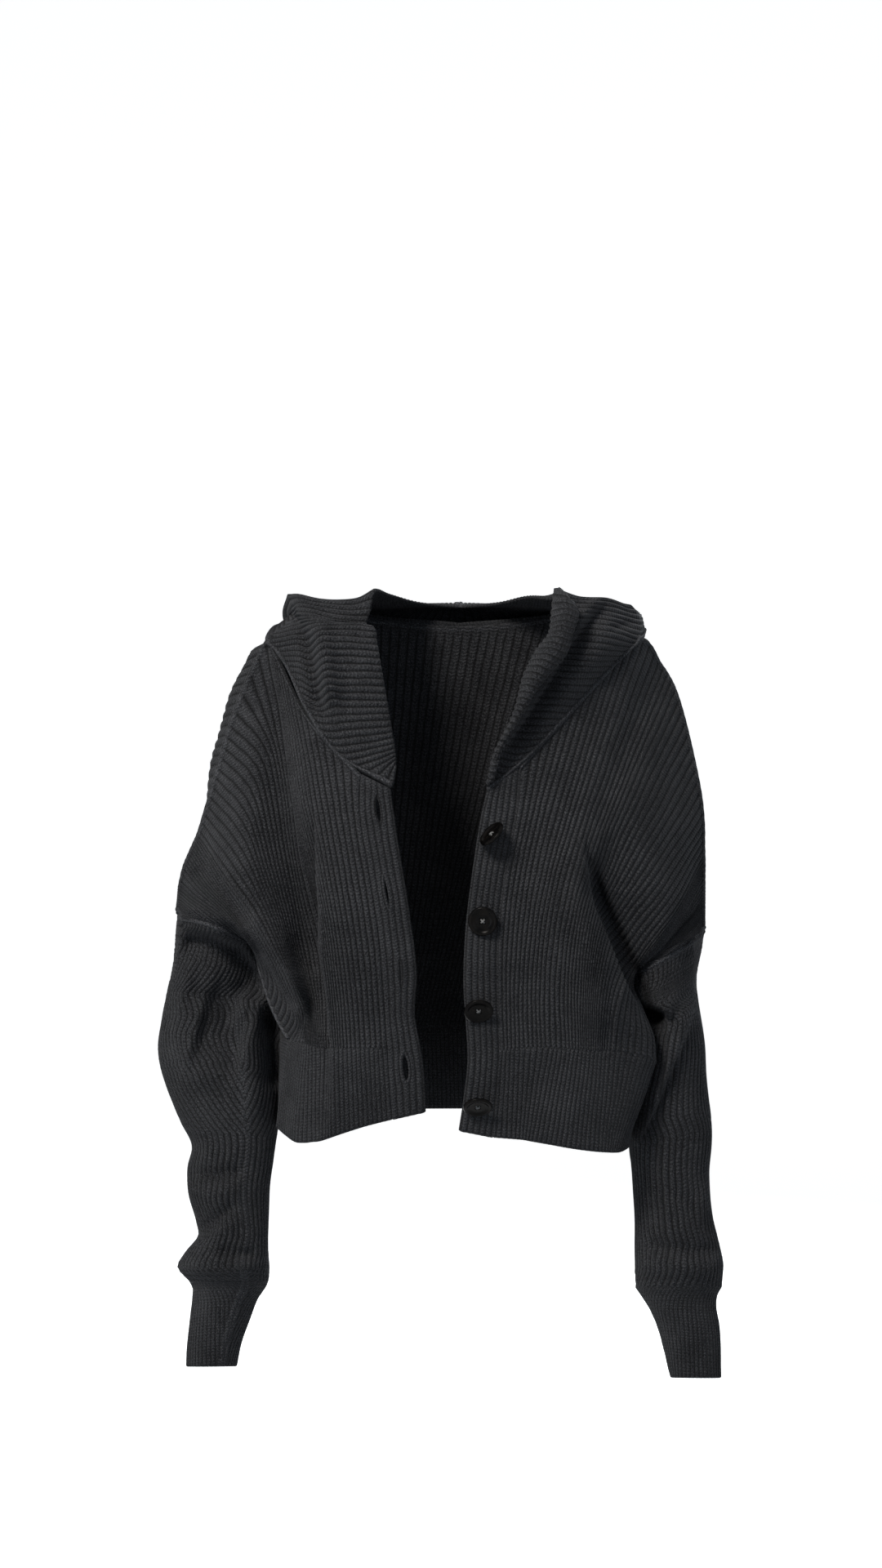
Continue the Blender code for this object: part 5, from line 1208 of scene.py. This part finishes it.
# How far each button is moved back to lie on the knitted ribs, and the face they belong to.
SEAT = (0.7e-3, 0.1e-3, -0.4e-3, 0.2e-3)
band_mesh = pieces["placket_left_cloth"][0].data
band_face = np.empty(3 * len(band_mesh.vertices))
band_mesh.vertices.foreach_get("co", band_face)
band_face = band_face.reshape(-1, 3)
buttons = []
for k, (right, up) in enumerate(BUTTONS):
    lowest, highest = (np.array(c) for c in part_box(f"button_{k + 1}"))
    place = (lowest + highest) / 2 + [0, SEAT[k], 0]
    az, el = np.radians(right), np.radians(up)
    face = np.array([np.cos(el) * np.sin(az), -np.cos(el) * np.cos(az), np.sin(el)])
    side = np.cross([0, 0, 1.0], face)
    side /= np.linalg.norm(side)
    turn = np.stack([side, np.cross(face, side), face], axis=1)
    points, faces = lathe(BUTTON_PROFILE, 56)
    button = solid(f"horn_button_{k + 1}", points @ turn.T + place, faces, HORN)
    drill = []
    for i in range(4):
        t = np.pi / 4 + i * np.pi / 2
        p, f = lathe([(0, -DRILL), (HOLE_R, -DRILL), (HOLE_R, DRILL), (0, DRILL)], 16)
        drill.append(((p + [HOLE_OUT * np.cos(t), HOLE_OUT * np.sin(t), 0]) @ turn.T + place, f))
    cutter = solid("drill", *joined(drill), HORN, soft=False)
    cut = button.modifiers.new("holes", "BOOLEAN")
    cut.operation, cut.solver, cut.object = "DIFFERENCE", "EXACT", cutter
    bpy.context.view_layer.update()
    cut_mesh = bpy.data.meshes.new_from_object(button.evaluated_get(bpy.context.evaluated_depsgraph_get()))
    button.modifiers.clear()
    button.data = cut_mesh
    bpy.data.objects.remove(cutter)
    # Thread: two crossing bars over the face and a short shank behind.
    high = 0.13 * T + 0.5e-3
    bars = []
    for sign in (1, -1):
        a0 = np.pi / 4 * sign
        x = np.linspace(-HOLE_OUT, HOLE_OUT, 9)
        out = x / HOLE_OUT
        over = 0.35e-3 if sign > 0 else 0       # the second bar lies over the first
        lift = high * (1 - out ** 4) + (-0.4e-3) * out ** 4 + over * (1 - out ** 2)
        for off in (-BAR_OFF, BAR_OFF):
            line = np.stack([x * np.cos(a0) - off * np.sin(a0), x * np.sin(a0) + off * np.cos(a0), lift], axis=1)
            bars.append(rope(line, BAR_R))
    # The shank leaves the middle of the back and bends to the nearest stitch.
    knot = place - (T / 2 + 1.0e-3) * face
    stitch = band_face[np.argmin(np.linalg.norm(band_face - knot, axis=1))]
    line = np.array([place - (T / 2 - 0.4e-3) * face, knot, (knot + stitch) / 2, stitch, stitch + [0, 1.0e-3, 0]])
    bars.append(rope((line - place) @ turn, SHANK_R, 12))
    points, faces = joined(bars)
    thread = solid(f"button_thread_{k + 1}", points @ turn.T + place, faces, THREAD)
    buttons.append((button, thread, k + 1))
print("buttons", len(buttons))

# %% [markdown]
# ## Pieces in place of the fixed model's walls
#
# Each cloth piece stands for one plain wall of the fixed model, which is hidden,
# and rides on the garment's one body. Each panel's cut is listed here from its
# own measured surface: the width across the ribs and the length along them. It
# is printed with the cloth's area and its share of that rectangle.

# %% Ride and replace
CUT = {  # widest width and longest length of the cut, metres
    "front_right": (0.32, 0.36), "front_left": (0.36, 0.40), "back": (0.72, 0.46), "hem_band": (0.90, 0.09),
    "sleeve_right": (0.33, 0.36), "sleeve_left": (0.30, 0.37), "cuff_right": (0.20, 0.082), "cuff_left": (0.19, 0.085),
    "placket_right": (0.034, 0.33), "placket_left": (0.034, 0.35),
    "hood_right": (0.30, 0.42), "hood_left": (0.30, 0.44)}
for node_name, cut_size in CUT.items():
    piece, area = pieces[node_name + "_cloth"]
    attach(piece, "root")
    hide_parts(node_name)
    print(node_name, "cut", cut_size, "area", round(area, 4), "share", round(area / (cut_size[0] * cut_size[1]), 2))
for button, thread, number in buttons:
    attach(button, "root")
    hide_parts(f"button_{number}")
    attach(thread, "root")

# %% [markdown]
# ## Studio
#
# The garment hangs inside a closed pale bowl, so every side has a plain
# background. The bowl is bright, but it lends the cloth no more than a sheen. A
# big soft light shines from the upper left front, with a weaker cool one from
# the right, one from low on the left and one from behind. The camera stands
# level with the chest, 2.5 m away.

# %% Bowl, lights and camera
def bowl(low_z, flat, radius, high):
    """Profile of a round studio: (radius, height) out along the floor, up by a
    quarter circle, up the wall and back over the top."""
    a = np.linspace(0, np.pi / 2, 16)
    r = np.concatenate([[0], flat + radius * np.sin(a), [flat + radius, 0]])
    z = np.concatenate([[low_z], low_z + radius * (1 - np.cos(a)), [high, high + 1.0]])
    return np.stack([r, z], axis=1)


paper, tree, shader = plain("pale_paper", (0.93, 0.93, 0.93), 0.9, 0.1)
floor = solid("studio_bowl", *lathe(bowl(-1.12, 3.0, 1.2, 4.2), 96), paper)
shader.inputs["Emission Color"].default_value, shader.inputs["Emission Strength"].default_value = (1, 1, 1, 1), 0.75
floor.visible_diffuse = floor.visible_shadow = False      # nothing of it but a sheen reaches the cloth


def soft_light(name, at, look, size, power, colour):
    """Round lamp at a place in metres, turned towards another place; size is its diameter, power in watts."""
    lamp = bpy.data.lights.new(name, "AREA")
    lamp.shape, lamp.size, lamp.energy, lamp.color = "DISK", size, power, colour
    thing = bpy.data.objects.new(name, lamp)
    thing.location = at
    way = np.array(look, float) - np.array(at, float)
    way /= np.linalg.norm(way)
    thing.rotation_euler = (np.arccos(-way[2]), 0, np.arctan2(way[1], way[0]) - np.pi / 2)
    thing.visible_camera = False
    bpy.context.scene.collection.objects.link(thing)


soft_light("key", (-1.25, -2.2, 1.75), (0, 0, -0.35), 0.9, 92, (1.0, 0.95, 0.88))
soft_light("fill", (0.9, -2.9, 0.0), (0, 0, -0.4), 1.4, 8, (0.76, 0.88, 1.0))
soft_light("low_left", (-1.5, -2.4, -0.95), (0, 0, -0.65), 1.2, 13, (0.88, 0.95, 1.0))
soft_light("behind", (0.8, 2.7, 0.7), (0, 0, -0.3), 1.8, 70, (0.92, 0.96, 1.0))
world = bpy.data.worlds.new("studio_air")
world.use_nodes = True
world.node_tree.nodes["Background"].inputs["Color"].default_value = (0.72, 0.86, 1.0, 1)
world.node_tree.nodes["Background"].inputs["Strength"].default_value = 0.11
bpy.context.scene.world = world
bpy.context.scene.view_settings.view_transform = "Standard"

lens = bpy.data.cameras.new("camera")
lens.lens, lens.sensor_width, lens.shift_x = 61.68, 36.0, -22 / 1920
camera = bpy.data.objects.new("camera", lens)
camera.location, camera.rotation_euler = (0, -EYE_AWAY, EYE_UP), (np.pi / 2, 0, 0)
bpy.context.scene.collection.objects.link(camera)
bpy.context.scene.camera = camera
